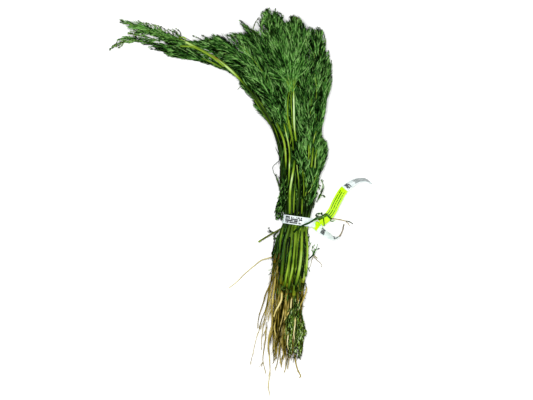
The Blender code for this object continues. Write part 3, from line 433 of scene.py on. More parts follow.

# Stalks laid one by one over the others, by plant: radii of the two ends in millimetres, rows up in
# the bunch of the two ends, whether the leaves keep clear, and points in millimetres with their tone.
# Stalks at tone -0.3 are dark ones laid in the gaps between the stems below the tie: painted shade.
LAID_STALKS = {
    (0, 0): (
        (
            (0.9, 1), (1.1, 1), False, (-16.8, 66, 0.15), (-17.6, 50, 0.1), (-17.6, 36, 0.1),
            (-16.4, 22, 0.12), (-15.4, 9, 0.12),
        ),
    ),
    (0, 1): (
        (
            (0.8, 0.9), (2.7, 2.6), False, (-51, 141, 0.25), (-43.5, 128, 0.36), (-35.5, 116, 0.38),
            (-29, 105, 0.25),
        ),
        (
            (0.9, 1.1), (2.2, 1.9), False, (-16.5, 68, 0.25), (-16.4, 52, 0.15), (-16.6, 38, 0.12),
            (-15.2, 24, 0.15), (-14.2, 9, 0.18),
        ),
    ),
    (1, 1): (
        (
            (1.1, 1.2), (2.1, 2), True, (-27, 106, 0.54), (-23.5, 98, 0.6), (-20.5, 88, 0.56),
            (-17.8, 76, 0.5), (-15, 62, 0.25), (-13.5, 52, 0.1),
        ),
        ((0.6, 0.8), (1.7, 1.6), True, (-104, 178.2, 0.55), (-95, 174.5, 0.55), (-82, 168, 0.45)),
    ),
    (1, 2): (
        (
            (1.2, 1.1), (2.9, 2.6), True, (-22, 107, 0.45), (-18.5, 99, 0.62), (-14.5, 89, 0.68),
            (-12.5, 78, 0.66), (-11.8, 66, 0.7), (-12, 55, 0.2),
        ),
        (
            (0.9, 1.1), (2.1, 2), True, (-128, 191.5, 0.5), (-114, 190.5, 0.66), (-102, 185.2, 0.7),
            (-89, 176.8, 0.62), (-79, 168.8, 0.58),
        ),
        ((0.9, 0.6), (3.2, 3), False, (-121, 198.8, 0.7), (-124, 200.8, 0.6), (-129, 200.3, 0.45)),
        (
            (0.9, 1), (3.1, 3), False, (-14.5, -7, 0.3), (-16.6, -16, 0.5), (-18, -26, 0.46),
            (-18.8, -36, 0.2),
        ),
        (
            (0.6, 0.7), (3.4, 3.2), False, (-47, 141, 0.2), (-40, 129, 0.34), (-32, 117, 0.38),
            (-27, 108, 0.25),
        ),
        (
            (0.6, 0.7), (2.9, 2.6), False, (-13.4, -12, -0.3), (-14.8, -26, -0.3), (-15.6, -40, -0.3),
            (-16.2, -54, -0.3),
        ),
    ),
    (2, 3): (
        (
            (0.7, 0.8), (3.5, 3.4), True, (-14, 106, 0.4), (-11.5, 95, 0.85), (-9, 84, 0.75),
            (-7.8, 74, 0.5), (-7.8, 64, 0.85), (-8.2, 52, 0.5), (-9, 38, 0.2),
        ),
        (
            (0.5, 0.6), (3.6, 3.4), False, (-10.2, -20, -0.3), (-11.6, -36, -0.3), (-13.2, -52, -0.3),
            (-14.8, -66, -0.3),
        ),
    ),
    (3, 2): (
        (
            (0.6, 0.8), (4, 3.4), True, (-7, 146, 0.55), (-9.6, 132, 0.52), (-8.4, 104, 0.56),
            (-5, 92, 0.5), (-3.8, 76, 0.3),
        ),
        (
            (0.6, 0.7), (3.5, 3.4), True, (-8.5, 110, 0.55), (-7, 102, 0.7), (-5, 93, 0.62),
            (-4, 80, 0.2),
        ),
        (
            (1.1, 1.2), (3.55, 3.2), True, (-2.3, 66, 0.3), (-3.3, 57, 0.65), (-5, 47, 0.9),
            (-6.6, 37, 0.88), (-7.3, 27, 0.5), (-7.4, 16, 0.5), (-7.6, 7, 0.45),
        ),
        (
            (1.1, 1.3), (3.2, 3.3), False, (-5, -7, 0.4), (-5.2, -18, 0.56), (-6.2, -30, 0.6),
            (-7.8, -40, 0.62), (-9.2, -50, 0.64), (-11.4, -62, 0.6), (-13.6, -74, 0.15),
        ),
        (
            (0.9, 0.9), (3.15, 3.1), False, (-7.5, -18, -0.3), (-8.5, -32, -0.3), (-10, -45, -0.3),
            (-11.5, -56, -0.3),
        ),
    ),
    (4, 3): (
        (
            (0.8, 1), (4.1, 3.6), True, (-3.6, 146, 0.75), (-3.2, 124, 0.95), (-2.4, 100, 0.9),
            (-0.5, 86, 0.5),
        ),
        (
            (0.5, 0.6), (4.05, 3.55), True, (-5.2, 145, 0.5), (-6.2, 134, 0.56), (-5.2, 115, 0.52),
            (-4.6, 100, 0.4),
        ),
        (
            (0.5, 0.6), (3.45, 3.3), True, (0.2, 61, 0.8), (1.2, 52, 0.75), (2.2, 44, 0.6),
            (2.4, 34, 0.2),
        ),
        ((0.6, 0.8), (3.2, 3.1), True, (-1, 50, 0.3), (-2, 36, 0.4), (-2.6, 26, 0.6), (-3.4, 8, 0.52)),
        (
            (0.4, 0.5), (3.6, 3.5), False, (-3, -14, -0.3), (-4, -28, -0.3), (-5.4, -42, -0.3),
            (-7.4, -58, -0.3),
        ),
    ),
    (5, 2): (
        ((0.5, 0.6), (3.4, 3.2), True, (6.5, 53, 0.65), (7.6, 44, 0.55), (8, 34, 0.6), (7.4, 26, 0.3)),
        ((0.7, 0.8), (3.1, 3.05), True, (3, 28, 0.3), (2.2, 16, 0.75), (1.8, 7, 0.65)),
        (
            (1.2, 1.4), (3.2, 3.3), False, (-1, -7, 0.4), (-1.4, -18, 0.62), (-2.2, -30, 0.68),
            (-3.4, -42, 0.6), (-5, -55, 0.7), (-7.6, -67, 0.62), (-9, -76, 0.15),
        ),
        (
            (0.6, 0.8), (3.2, 3.2), False, (2.6, -26, -0.3), (1.6, -42, -0.3), (-0.6, -57, -0.3),
            (-3.2, -71, -0.3),
        ),
    ),
    (6, 3): (
        ((0.5, 0.6), (3.5, 3.4), True, (12.8, 83, 0.5), (13.2, 75, 0.8), (13, 66, 0.5)),
        ((0.6, 0.7), (3.3, 3.2), True, (6.2, 24, 0.4), (6, 16, 0.65), (5.6, 7, 0.5)),
        (
            (0.5, 0.7), (3.75, 3.7), False, (0, -8, 0.4), (0.3, -25, 0.6), (0.4, -36, 0.62),
            (-1.6, -52, 0.2),
        ),
    ),
    (7, 2): (
        ((0.5, 0.7), (3.35, 3.2), True, (21.5, 98, 0.5), (19.5, 92, 0.9), (18, 84, 0.5)),
        ((0.6, 1.1), (3.4, 3.3), True, (18, 80, 0.5), (17.3, 70, 0.7), (16, 58, 0.5)),
        (
            (1.3, 1.6), (3.2, 3.4), False, (6, -8, 0.4), (5.8, -20, 0.68), (5.4, -31, 0.78),
            (4.6, -42, 0.8), (3, -53, 0.76), (0.9, -63, 0.66), (-1.6, -72, 0.15),
        ),
        (
            (0.6, 0.8), (3.1, 3.2), False, (8.6, -18, -0.3), (8.9, -36, -0.3), (7.8, -50, -0.3),
            (6, -64, -0.3),
        ),
    ),
    (8, 1): (
        ((0.5, 0.8), (3.2, 3), True, (22.2, 78, 0.6), (20.6, 68, 0.9), (20, 57, 0.7)),
        (
            (1.1, 1.3), (2.7, 2.8), False, (10, -8, 0.4), (11.4, -20, 0.66), (12, -33, 0.74),
            (11.2, -48, 0.7), (10, -62, 0.15),
        ),
    ),
}
# Painted shade in the hollows and valleys of the bunch, and lighter places where the amount is
# negative: x, y and reach in millimetres, and how much darker.
PAINTED_SHADE_SPOTS = (
    (-33, 186, 4, 0.55), (-39, 195, 3, 0.45), (-28, 173, 3, 0.35), (-27, 179, 3, 0.35),
    (-68, 188, 4, 0.3), (-76, 189, 4, 0.3), (-62, 187, 3, 0.25), (-64, 173, 4, 0.4),
    (-50, 178, 3, 0.25), (-46, 199, 4, 0.2), (23, 179, 4.5, 0.55), (16, 165, 2.5, 0.5),
    (10, 186, 2.5, 0.45), (10, 179, 2.5, 0.45), (17, 191, 3, 0.4), (13, 200, 3, 0.35),
    (12, 207, 2.5, 0.3), (6, 147, 3, 0.5), (9, 137, 3, 0.4), (9, 128, 3, 0.45), (11, 117, 3.5, 0.4),
    (-20, 140, 3, 0.45), (-17, 136, 2.5, 0.4), (-24, 152, 3, 0.35), (-36, 150, 3, 0.25),
    (-11, 164, 2, 0.3), (17, 150, 3, 0.3), (-40, 135, 3, 0.25), (30, 146, 3, 0.3),
    (-186, 216, 14, -0.22), (-165, 210, 11, -0.12), (-192, 197, 13, -0.14), (-140, 190, 14, -0.05),
    (-19, 13, 9, 0.12), (-3, 166, 9, -0.12), (-6, 184, 9, -0.09), (3, 178, 8, -0.09),
    (-16, 192, 6, -0.1), (-24, 178, 3, -0.12), (-5, 150, 5, -0.2), (9, 173, 3, -0.1),
    (-50, 164, 3, -0.15), (-37, 177, 3, -0.15), (-53, 178, 2, -0.15), (-30, 205, 6, -0.06),
    (2, 217, 5, -0.08), (30, 155, 8, 0.05), (24, 130, 9, 0.06),
)

# Twigs and curly threads, by plant and in millimetres: slot (0 leaf, 1 stalk), radii of the two
# ends, tone, dryness and points.
TWIGS = {
    (0, 0): (
        (1, (0.9, 1), 0.3, 0.15, (-16, -8.5, 11), (-23, -12.5, 10), (-32, -17.5, 9), (-40, -22.5, 8)),
        (1, (1, 1.1), 0.55, 0.15, (-39, -22, 8.1), (-42, -23.7, 7.8)),
    ),
    (0, 1): (
        (
            0, (0.4, 0.35), 0.2, 0.1, (-18.2, 66.5, 24), (-22, 63, 23), (-26, 59, 22), (-25.5, 54, 21),
            (-22.5, 48, 20),
        ),
        (0, (0.45, 0.5), 0.2, 0.1, (-22.5, 48, 20), (-19.5, 38, 18), (-17, 29, 16)),
    ),
    (1, 2): (
        (0, (0.4, 0.3), 0.3, 0.3, (-56, 148, 20), (-62, 146.5, 19), (-65, 143.5, 18)),
        (0, (0.4, 0.3), 0.3, 0.3, (-56, 150, 20), (-60, 149.5, 19), (-63, 149, 18)),
    ),
    (4, 3): (
        (
            0, (0.4, 0.35), 0.2, 0, (-14, -20, 20.5), (-7.5, -21, 22.5), (-1.5, -22, 23),
            (4, -23.5, 22.5), (10, -25, 19),
        ),
        (0, (1, 1.1), 0.16, 0, (0, 63, 30), (6, 60, 31), (13, 57.5, 30), (22, 55, 27), (27, 53, 25)),
    ),
    (5, 2): (
        (0, (0.8, 0.6), 0.12, 0, (3, 61, 30), (7, 57, 30.5), (12, 52, 29)),
    ),
    (6, 3): (
        (
            0, (1.1, 1), 0.22, 0, (-3.5, -13, 27.2), (1, -9, 27.4), (6.5, -5.5, 26.6),
            (13.5, -2.5, 23.5), (23.5, 4, 22.5),
        ),
        (
            0, (0.7, 0.5), 0.12, 0, (23.5, 4, 22.5), (21, 5.5, 22.5), (22.5, 7.5, 22.5), (25, 8, 22),
            (28, 6.5, 21.5), (29.5, 2, 20.5), (30.5, -6.5, 19),
        ),
        (
            0, (0.7, 0.6), 0.3, 0, (23.5, 4, 22.5), (27, 4.5, 22), (32.5, 7.5, 21), (36, 3, 20.5),
            (39, 1.5, 20),
        ),
        (0, (0.5, 0.4), 0.1, 0.3, (28, 2.5, 21.5), (25, 1, 21.5), (23, 1, 21)),
        (0, (0.5, 0.5), 0.6, 0, (39, 1.5, 20), (37, 0.5, 20), (39, -1, 19.5), (42, 0.5, 19)),
        (1, (0.6, 0.5), 0.45, 0.8, (39, 2, 20), (45, 1.5, 19.5), (50, 0.5, 19), (54, -0.5, 18)),
        (0, (0.6, 0.5), 0.2, 0.2, (54, -0.5, 18), (57.5, -1, 17.5), (62.5, -4, 17)),
        (1, (0.4, 0.3), 0.5, 0.9, (54, -1, 18), (56, -2.5, 17.5), (58.5, -6, 17)),
    ),
    (8, 1): (
        (0, (0.7, 0.7), 0.2, 0, (10.5, -45, 16), (14, -42, 17), (17, -39, 17), (19.5, -34, 17)),
        (0, (0.5, 0.3), 0.55, 0, (19.5, -34, 17), (22, -30, 18), (23, -25, 18)),
        (1, (0.5, 0.5), 0.6, 0.5, (19, -38.5, 17), (21, -40, 17), (23, -41.5, 16)),
        (
            1, (0.35, 0.25), 0.3, 0.5, (18.5, -39, 16), (16.5, -44.5, 15), (15.5, -49.5, 14),
            (13.5, -53.5, 13),
        ),
        (
            1, (0.4, 0.3), 0.3, 0.5, (19, -40, 16), (23, -44, 15), (26.5, -47, 14), (28, -49.5, 13),
            (26.5, -52, 12),
        ),
        (0, (0.4, 0.3), 0.15, 0, (10, -12, 17), (13.5, -16, 17), (14, -18.5, 16), (12.5, -19.5, 16)),
    ),
}
# Combs of fine curling threads along the upper edge of the branch, in millimetres: foot and tip of
# each, seen from above. All lie at one height and are this long in their longest pinna.
COMBS = (
    (-130, 202, -136, 210.5), (-127, 203, -133, 211.5), (-135, 203, -141, 210.5),
    (-140, 204, -146, 211), (-144, 205, -149, 213.5), (-148, 206, -153, 215), (-152, 207, -157, 216),
    (-155, 209, -160, 216.5), (-159, 210, -166, 218), (-162, 211, -168, 217), (-167, 213, -174, 219.5),
    (-160, 204, -170, 208), (-164, 204, -175, 209.5), (-168, 203, -180, 210), (-172, 203, -184, 208.5),
    (-176, 203, -186, 205.5), (-150, 203, -160, 210), (-156, 203, -166, 210), (-170, 206, -180, 212.5),
    (-198, 196, -203, 192), (-192, 197, -200, 190.5), (-190, 198, -197, 189),
)
COMB_HEIGHT = 0.014
COMB_PINNA = 2.2

# Roots laid one by one, by plant and in millimetres: rows up of the two ends, radii of the two ends,
# the tone and points in plan.
LAID_ROOTS = {
    (0, 1): (
        (
            (2.4, 0.6), (1, 0.3), 0.36, (-27, -60), (-29, -70), (-34, -81.5), (-36.5, -90.5),
            (-40, -101), (-42, -109), (-43, -120),
        ),
        (
            (2.6, 0.4), (0.8, 0.25), 0.55, (-25, -62), (-28, -78), (-31, -90), (-33.5, -101),
            (-36, -112.5), (-38, -126), (-39, -144),
        ),
    ),
    (1, 1): (
        (
            (1.6, 0.3), (0.7, 0.3), 0.45, (-33, -112), (-34.5, -133), (-36, -143), (-37, -154.5),
            (-35, -164), (-33.5, -170),
        ),
        ((1.6, 1.2), (0.5, 0.3), 0.36, (-32, -117), (-36.5, -126.5)),
        ((0.6, 0.4), (0.4, 0.3), 0.36, (-36.5, -156), (-38.5, -159)),
        ((1.2, 0.2), (0.3, 0.3), 0.55, (-36, -110), (-43, -126), (-48, -146.5), (-51.5, -161)),
    ),
    (1, 2): (
        (
            (3.2, 2), (1, 0.8), 0.56, (-22, -52), (-23, -62), (-24.5, -74.5), (-26.5, -89),
            (-27, -101.5), (-27, -116), (-30, -127), (-31, -137), (-30, -149),
        ),
        (
            (3.4, 2), (0.7, 0.5), 0.3, (-20, -50), (-20.5, -62), (-22, -78), (-23.5, -95), (-26, -112),
            (-27, -128),
        ),
    ),
    (2, 2): (
        ((2.2, 0.4), (0.7, 0.3), 0.55, (-22, -134), (-22.5, -149.5), (-24.5, -154.5), (-26.5, -159)),
        ((2.4, 1), (0.8, 0.5), 0.36, (-23, -134), (-22.5, -148), (-22, -153)),
    ),
    (2, 3): (
        (
            (4.1, 3.5), (1.2, 0.8), 0.72, (-17, -75), (-16.3, -81.5), (-17, -87.5), (-19.5, -93),
            (-23, -99.5), (-25, -106),
        ),
        (
            (3.8, 2), (0.8, 0.4), 0.62, (-22, -108), (-24.5, -117.5), (-22.5, -128), (-24, -137),
            (-26.5, -144.5),
        ),
        ((3.6, 2.4), (0.9, 0.5), 0.4, (-18, -80), (-20, -96), (-20, -112), (-21, -130), (-22, -148)),
    ),
    (3, 2): (
        (
            (3.8, 0.8), (0.9, 0.45), 0.66, (-13, -90), (-15, -104), (-18, -116), (-19.5, -126),
            (-18.5, -139.5), (-18, -151.5), (-16.5, -163),
        ),
        ((3.5, 1.6), (0.8, 0.4), 0.66, (-12, -92), (-13, -108), (-15, -124), (-15, -140), (-14, -154)),
    ),
    (4, 3): (
        ((5, 3), (0.6, 0.3), 0.9, (-9, -123), (-10, -135.5), (-8.5, -144.5)),
        ((2.4, 0.4), (0.6, 0.4), 0.5, (-12, -140), (-11.5, -154), (-12, -161.5), (-13, -168)),
    ),
    (5, 2): (
        ((4.2, 3.8), (0.9, 0.6), 0.72, (-5, -82), (-6, -90), (-7, -98), (-10.5, -104), (-14, -110)),
        ((5.1, 4.8), (0.6, 0.4), 0.85, (-1.5, -104), (-2, -116), (-3, -123.5), (-2.5, -130.5)),
    ),
    (6, 3): (
        ((2.4, 0.3), (0.8, 0.55), 0.52, (-2, -144), (-0.5, -158), (2, -166.5), (4.5, -172), (3, -174)),
    ),
    (7, 2): (
        ((4.2, 3.6), (0.9, 0.5), 0.72, (3, -84), (1.5, -91.5), (2, -99), (4, -106), (5, -116)),
    ),
    (8, 1): (
        (
            (2.8, 3.9), (0.8, 0.8), 0.58, (10, -70), (11, -73.5), (9.5, -80.5), (7, -87.5), (4, -93),
            (2, -100), (1, -106.5),
        ),
    ),
}
# The longest root, and how far it bends aside from its solid at these distances from the tie.
LONG_ROOT_PLANT = (1, 1)
LONG_ROOT_AT = (0.090, 0.116, 0.137, 0.149, 0.166, 0.182, 0.196)
LONG_ROOT_ASIDE = (0.0, 0.0025, 0.0005, 0.0020, 0.0028, 0.0010, 0.0035)
# The thin side root that trails off to the left, in millimetres with its heights.
TRAILING_PLANT = (0, 1)
TRAILING_ROOT = (
    (-22, -36, 12), (-25, -39.5, 11.5), (-31, -41.5, 10.5), (-38, -43.5, 8.5), (-46, -49.5, 6),
    (-58, -60, 3), (-67, -69, 1.6), (-75.5, -75.5, 1),
)
# The main root: its radius at the foot in the branch's columns and elsewhere, and at the tip.
EDGE_ROOT_RADIUS = 0.0010
ROOT_RADIUS = 0.0015
ROOT_TIP_RADIUS = 0.00042
# Thin roots beside it: how many in each of the branch's columns and elsewhere, and their sizes.
EDGE_THIN_ROOTS = (0, 2)
THIN_ROOTS = 6
THIN_ROOT_RINGS = 16
THIN_ROOT_LENGTHS = (0.035, 0.070)
THIN_ROOT_RADII = (0.00045, 0.00110)
# Hairs on the main root, its side root, thin roots and listed roots: how many, and lengths.
MAIN_HAIRS = (14, (0.006, 0.018))
SIDE_HAIRS = (5, (0.005, 0.012))
THIN_HAIRS = (4, (0.006, 0.014))
LAID_HAIRS = (5, (0.004, 0.010))
HAIR_RADIUS = 0.00020
HAIR_RINGS = 5
# A packed root is read at this many cuts. A cut this near to the last one is the main root's.
ROOT_CUTS = 22
ROOT_CUT_MARGIN = 0.0004
ROOT_REACH = 0.0036

# Green among the roots, by plant and in millimetres: rows up of the two ends, the longest pinna
# and points in plan.
LOW_LEAVES = {
    (4, 3): (
        ((4.4, 2.6), 7, (-6, -96), (-6, -112), (-6.5, -130), (-7.5, -148)),
        ((4, 2.4), 5, (-10, -104), (-10.5, -119.5), (-11, -129.5), (-9, -141)),
    ),
    (5, 2): (
        ((5, 3.6), 5, (-3, -82), (-2.5, -96), (-2, -110), (-3, -126)),
    ),
    (6, 3): (
        ((4.8, 2.8), 7, (-1.5, -94), (0, -114), (-0.5, -132), (-1.5, -150)),
        ((5.1, 3.4), 6, (2, -88), (1, -104), (1.5, -122), (1, -140)),
    ),
    (7, 2): (
        ((4.4, 2.4), 7, (4, -98), (4.5, -116), (4.5, -134), (3, -152)),
        ((3.8, 2.8), 6, (5, -104), (6.5, -112), (8, -118), (9, -124)),
        ((4, 3), 5, (2, -118), (5, -123), (9, -126)),
    ),
    (8, 1): (
        ((3, 1.8), 6, (6, -112), (6, -126), (5, -138), (4, -148)),
    ),
}
# Each is laid twice, beside its line: the slot, the shift in millimetres and the dryness.
LOW_LAYERS = ((0, -1.0, 0.42), (1, 1.0, 0.06))


def unit(vectors):
    """The same directions, one long."""
    return vectors / np.maximum(np.linalg.norm(vectors, axis=-1, keepdims=True), 1e-9)


def run_along(line):
    """How far along a line each of its points lies."""
    return np.concatenate([[0], np.cumsum(np.linalg.norm(np.diff(line, axis=0), axis=1))])


def columns_at(at, stations, rows):
    """The rows of numbers that belong to these stations, on straight lines between given ones."""
    return np.stack([np.interp(at, stations, column) for column in rows.T], -1)


def by_stops(table, at):
    """Reads a table of (station, value) rows at stations, on straight lines between them."""
    return np.interp(at, *zip(*table))


def smooth_through(rows, at):
    """Reads a table of (station, value, ...) rows at stations, on a smooth curve through them."""
    table = np.array(rows, float)
    stations, values = table[:, 0], table[:, 1:]
    slopes = np.gradient(values, stations, axis=0)
    at = np.clip(np.asarray(at, float), stations[0], stations[-1])
    i = np.clip(np.searchsorted(stations, at, side="right"), 1, len(stations) - 1) - 1
    width = (stations[i + 1] - stations[i])[..., None]
    s = (at[..., None] - stations[i][..., None]) / width
    return (
        (2 * s**3 - 3 * s**2 + 1) * values[i]
        + (s**3 - 2 * s**2 + s) * width * slopes[i]
        + (3 * s**2 - 2 * s**3) * values[i + 1]
        + (s**3 - s**2) * width * slopes[i + 1]
    )


def smooth_line(points, count):
    """Points spread evenly on a smooth line through the given ones."""
    points = np.array(points, float)
    stations = run_along(points)
    return smooth_through(np.column_stack([stations, points]), np.linspace(0, stations[-1], count))


def heading(degrees):
    """The unit vector in plan that points this far from +Y towards +X."""
    return np.array([math.sin(math.radians(degrees)), math.cos(math.radians(degrees))])


def inside_outline(points):
    """Whether each point, seen from above, is within the outline that the leaves keep to."""
    inside = np.zeros(points.shape[:-1], bool)
    x, y = points[..., 0], points[..., 1]
    for (x0, y0), (x1, y1) in zip(OUTLINE, (*OUTLINE[1:], OUTLINE[0])):
        if y0 != y1:
            inside ^= ((y0 > y) != (y1 > y)) & (x < x0 + (y - y0) / (y1 - y0) * (x1 - x0))
    return inside


def guide_line(column, neck, fan):
    """A plant's line in plan, as (distance from the tie, x, y) every few millimetres."""
    offset_share = column - MIDDLE_COLUMN
    points = []
    for y in np.arange(SPINE[0][0], neck, SPINE_STEP):
        x, pitch = smooth_through(SPINE, y)
        ahead, _ = smooth_through(SPINE, y + SPINE_STEP / 2)
        behind, _ = smooth_through(SPINE, y - SPINE_STEP / 2)
        slope = math.atan2(ahead - behind, SPINE_STEP)
        offset = offset_share * pitch
        points.append((x + offset * math.cos(slope), y - offset * math.sin(slope)))
    tip_x, tip_y, neck_heading, tip_heading, neck_reach, tip_reach = fan
    x, pitch = smooth_through(SPINE, neck)
    start = np.array([x + offset_share * pitch, neck])
    end = np.array([tip_x, tip_y])
    first = start + neck_reach * heading(neck_heading)
    second = end - tip_reach * heading(tip_heading)
    s = np.linspace(0, 1, FAN_POINTS)[:, None]
    bend = 3 * s * (1 - s) ** 2 * first + 3 * s**2 * (1 - s) * second
    line = np.vstack([points, (1 - s) ** 3 * start + bend + s**3 * end])
    along = run_along(line)
    lower = len(line) // 2
    at_tie = np.interp(0, line[:lower, 1], along[:lower])
    return np.column_stack([along - at_tie, line])


class Plant:
    """One plant of the bunch: where its axis runs, and the random draws of its looks."""

    def __init__(self, number, column, row):
        rows = COLUMN_ROWS[column]
        self.place = (column, row)
        self.column = column
        self.half_rows = (rows - 1) / 2
        self.height_step = row - self.half_rows
        is_stalk = self.place == STALK_PLANT
        neck, fan = (STALK_NECK, STALK) if is_stalk else (NECK, FAN[column])
        self.guide = guide_line(column, neck, fan)
        self.name = f"plant_{number:02d}"
        draw = random.Random(FIRST_SEED + number)
        self.base = STEM_BASE[column] + draw.uniform(-BASE_SCATTER, BASE_SCATTER)
        rows_above = 0 if self.in_branch else rows - 1 - row
        self.top = self.guide[-1][0] - ROW_DROP * rows_above * draw.uniform(*ROW_DROP_SPREAD)
        self.draw = np.random.default_rng(number)

    @property
    def in_branch(self):
        """Whether the plant is one of the bent branch, at the left edge of the bunch."""
        return self.column < BRANCH_COLUMNS

    @property
    def seen(self):
        """Whether the plant's leaves reach the outside of the bunch."""
        edge_column = self.in_branch or self.column >= len(COLUMN_ROWS) - 2
        return edge_column or abs(self.height_step) == self.half_rows

    @property
    def on_top(self):
        return self.height_step == self.half_rows

    def by_place(self, on_top, seen, hidden):
        """One of three values, for a plant on top of the bunch, on its other sides or inside it."""
        return on_top if self.on_top else seen if self.seen else hidden

    def points(self, along):
        """The axis at these distances from the tie, positive towards the leaves."""
        along = np.asarray(along, float)
        distance = self.guide[:, 0]
        plan = columns_at(along, distance, self.guide[:, 1:])
        for beyond, end, before in (
            (along - distance[-1], self.guide[-1, 1:], self.guide[-3, 1:]),
            (distance[0] - along, self.guide[0, 1:], self.guide[2, 1:]),
        ):
            onward = (end - before) / np.linalg.norm(end - before)
            plan = plan + np.maximum(beyond, 0)[..., None] * onward
        heights = smooth_through(ROW_HEIGHTS, along)
        rows_up = self.height_step + MIDDLE_ROW
        if self.in_branch:
            starts, ends = BRANCH_SINKS
            sink = np.clip((along - starts) / (ends - starts), 0, 1)
            rows_up = rows_up - sink * (MIDDLE_ROW - self.half_rows)
        z = heights[..., 0] + rows_up * heights[..., 1]
        return np.concatenate([plan, z[..., None]], -1)

    def frames(self, along):
        """Points, level sideways directions and the directions square to them and the axis."""
        along = np.asarray(along, float)
        ahead = unit(self.points(along + HEADING_REACH) - self.points(along - HEADING_REACH))
        side = unit(np.cross(ahead, (0, 0, 1.0)))
        return self.points(along), side, np.cross(side, ahead)

    def outward_angle(self, along):
        """The way from the bunch's middle to this plant, as an angle from the sideways direction."""
        step = float(smooth_through(ROW_HEIGHTS, along)[1])
        across = (self.column - MIDDLE_COLUMN) * OUTWARD_SHARE * step
        return math.atan2(self.height_step * step, across)


def all_plants():
    places = [(column, row) for column, rows in enumerate(COLUMN_ROWS) for row in range(rows)]
    return {place: Plant(i + 1, *place) for i, place in enumerate(places)}


# A strand that starts out steeper than this takes its sideways direction from the x axis.
STEEP = 0.85
# How far the lanes of two strands beside each other are apart, so that their streaks differ.
LANE_STEP = 7.3


class Strands:
    """Many thin tapered strands, gathered by batches and then made into one mesh.

    Each corner keeps the strand's tone and dryness, its share of the way along the strand, and its
    lane: the direction round the strand and the distance along it, in centimetres.
    """

    def __init__(self):
        self.corners, self.looks = [], []
        self.faces = {3: [], 4: []}
        self.slots = {3: [], 4: []}
        self.count = 0

    def add(self, points, radii, tone, dry=0.0, slot=0, sides=3, capped=False, ridge=0.0):
        """Adds strands of (strands, rings, 3) points, the last being the tip, with radii alike."""
        points = np.asarray(points, float)
        strands, rings, _ = points.shape
        if not strands:
            return
        radii = np.broadcast_to(np.asarray(radii, float), (strands, rings))
        points = points.copy()
        points[..., 2] = np.maximum(points[..., 2], LOWEST + radii)
        ahead = unit(np.gradient(points, axis=1))
        level = np.array([0, 0, 1.0])
        helper = np.where(np.abs(ahead[:, :1, 2:]) > STEEP, np.array([1.0, 0, 0]), level)
        across = unit(np.cross(ahead, helper))
        upward = np.cross(across, ahead)
        turn = np.arange(sides) / sides * math.tau
        tube = rings - 1
        round_way = across[:, :tube, None] * np.cos(turn)[:, None]
        round_way = round_way + upward[:, :tube, None] * np.sin(turn)[:, None]
        bulge = 1 + ridge * np.cos(turn * sides / 2)
        ring = points[:, :tube, None] + round_way * (radii[:, :tube, None] * bulge)[..., None]
        ends = [points[:, -1:]] + [points[:, :1]] * capped
        corners = np.concatenate([ring.reshape(strands, -1, 3), *ends], 1)
        per = corners.shape[1]

        def spread(values):
            """One value for each corner of each strand."""
            values = np.asarray(values, float)
            if values.ndim < 2:
                values = values.reshape(-1, 1)
            values = np.broadcast_to(values, (strands, rings))
            parts = [np.repeat(values[:, :tube], sides, axis=1), values[:, -1:]]
            return np.concatenate(parts + [values[:, :1]] * capped, 1)

        steps = np.linalg.norm(np.diff(points, axis=1), axis=2)
        run = np.concatenate([np.zeros((strands, 1)), np.cumsum(steps, axis=1)], 1)
        angle = np.concatenate([np.tile(turn, tube), np.zeros(1 + capped)])
        cosine = np.cos(angle) + np.arange(strands)[:, None] * LANE_STEP
        looks = [spread(tone), spread(dry), spread(run / np.maximum(run[:, -1:], 1e-9))]
        looks += [cosine, np.broadcast_to(np.sin(angle), cosine.shape), spread(run) * 100]
        self.looks.append(np.stack(looks, -1).reshape(-1, len(looks)))

        i = np.arange(sides)
        j = (i + 1) % sides
        first = (np.arange(tube - 1) * sides)[:, None]
        quads = np.stack([first + i, first + j, first + sides + j, first + sides + i], -1)
        last = (tube - 1) * sides
        tips = np.stack([last + i, last + j, np.full(sides, tube * sides)], -1)
        if capped:
            tips = np.vstack([tips, np.stack([j, i, np.full(sides, tube * sides + 1)], -1)])
        starts = self.count + np.arange(strands)[:, None, None] * per
        for size, pattern in ((4, quads.reshape(-1, 4)), (3, tips)):
            faces = (starts + pattern).reshape(-1, size)
            self.faces[size].append(faces)
            self.slots[size].append(np.full(len(faces), slot))
        self.corners.append(corners.reshape(-1, 3))
        self.count += strands * per

    def made(self, name, materials):
        """One mesh object of all the strands."""
        corners = np.concatenate(self.corners) + SHIFT
        quads = np.concatenate(self.faces[4])
        threes = np.concatenate(self.faces[3])
        slots = np.concatenate(self.slots[4] + self.slots[3])
        return mesh_object(name, corners, quads, threes, slots, np.concatenate(self.looks), materials)


def mesh_object(name, corners, quads, threes, slots, looks, materials):
    """A smooth mesh object from arrays, with its corners' looks as attributes."""
    mesh = bpy.data.meshes.new(name)
    mesh.vertices.add(len(corners))
    mesh.vertices.foreach_set("co", corners.astype(np.float32).ravel())
    loops = np.concatenate([quads.ravel(), threes.ravel()]).astype(np.int32)
    mesh.loops.add(len(loops))
    mesh.loops.foreach_set("vertex_index", loops)
    starts = [np.arange(len(quads)) * 4, quads.size + np.arange(len(threes)) * 3]
    starts = np.concatenate(starts).astype(np.int32)
    mesh.polygons.add(len(starts))
    mesh.polygons.foreach_set("loop_start", starts)
    mesh.polygons.foreach_set("material_index", slots.astype(np.int32))
    mesh.polygons.foreach_set("use_smooth", np.ones(len(starts), bool))
    for i, attribute in enumerate(("tone", "dry", "along")):
        data = mesh.attributes.new(attribute, "FLOAT", "POINT").data
        data.foreach_set("value", looks[:, i].astype(np.float32))
    data = mesh.attributes.new("lane", "FLOAT_VECTOR", "POINT").data
    data.foreach_set("vector", looks[:, 3:6].astype(np.float32).ravel())
    mesh.update(calc_edges=True)
    for made in materials:
        mesh.materials.append(made)
    thing = bpy.data.objects.new(name, mesh)
    bpy.context.scene.collection.objects.link(thing)
    return thing


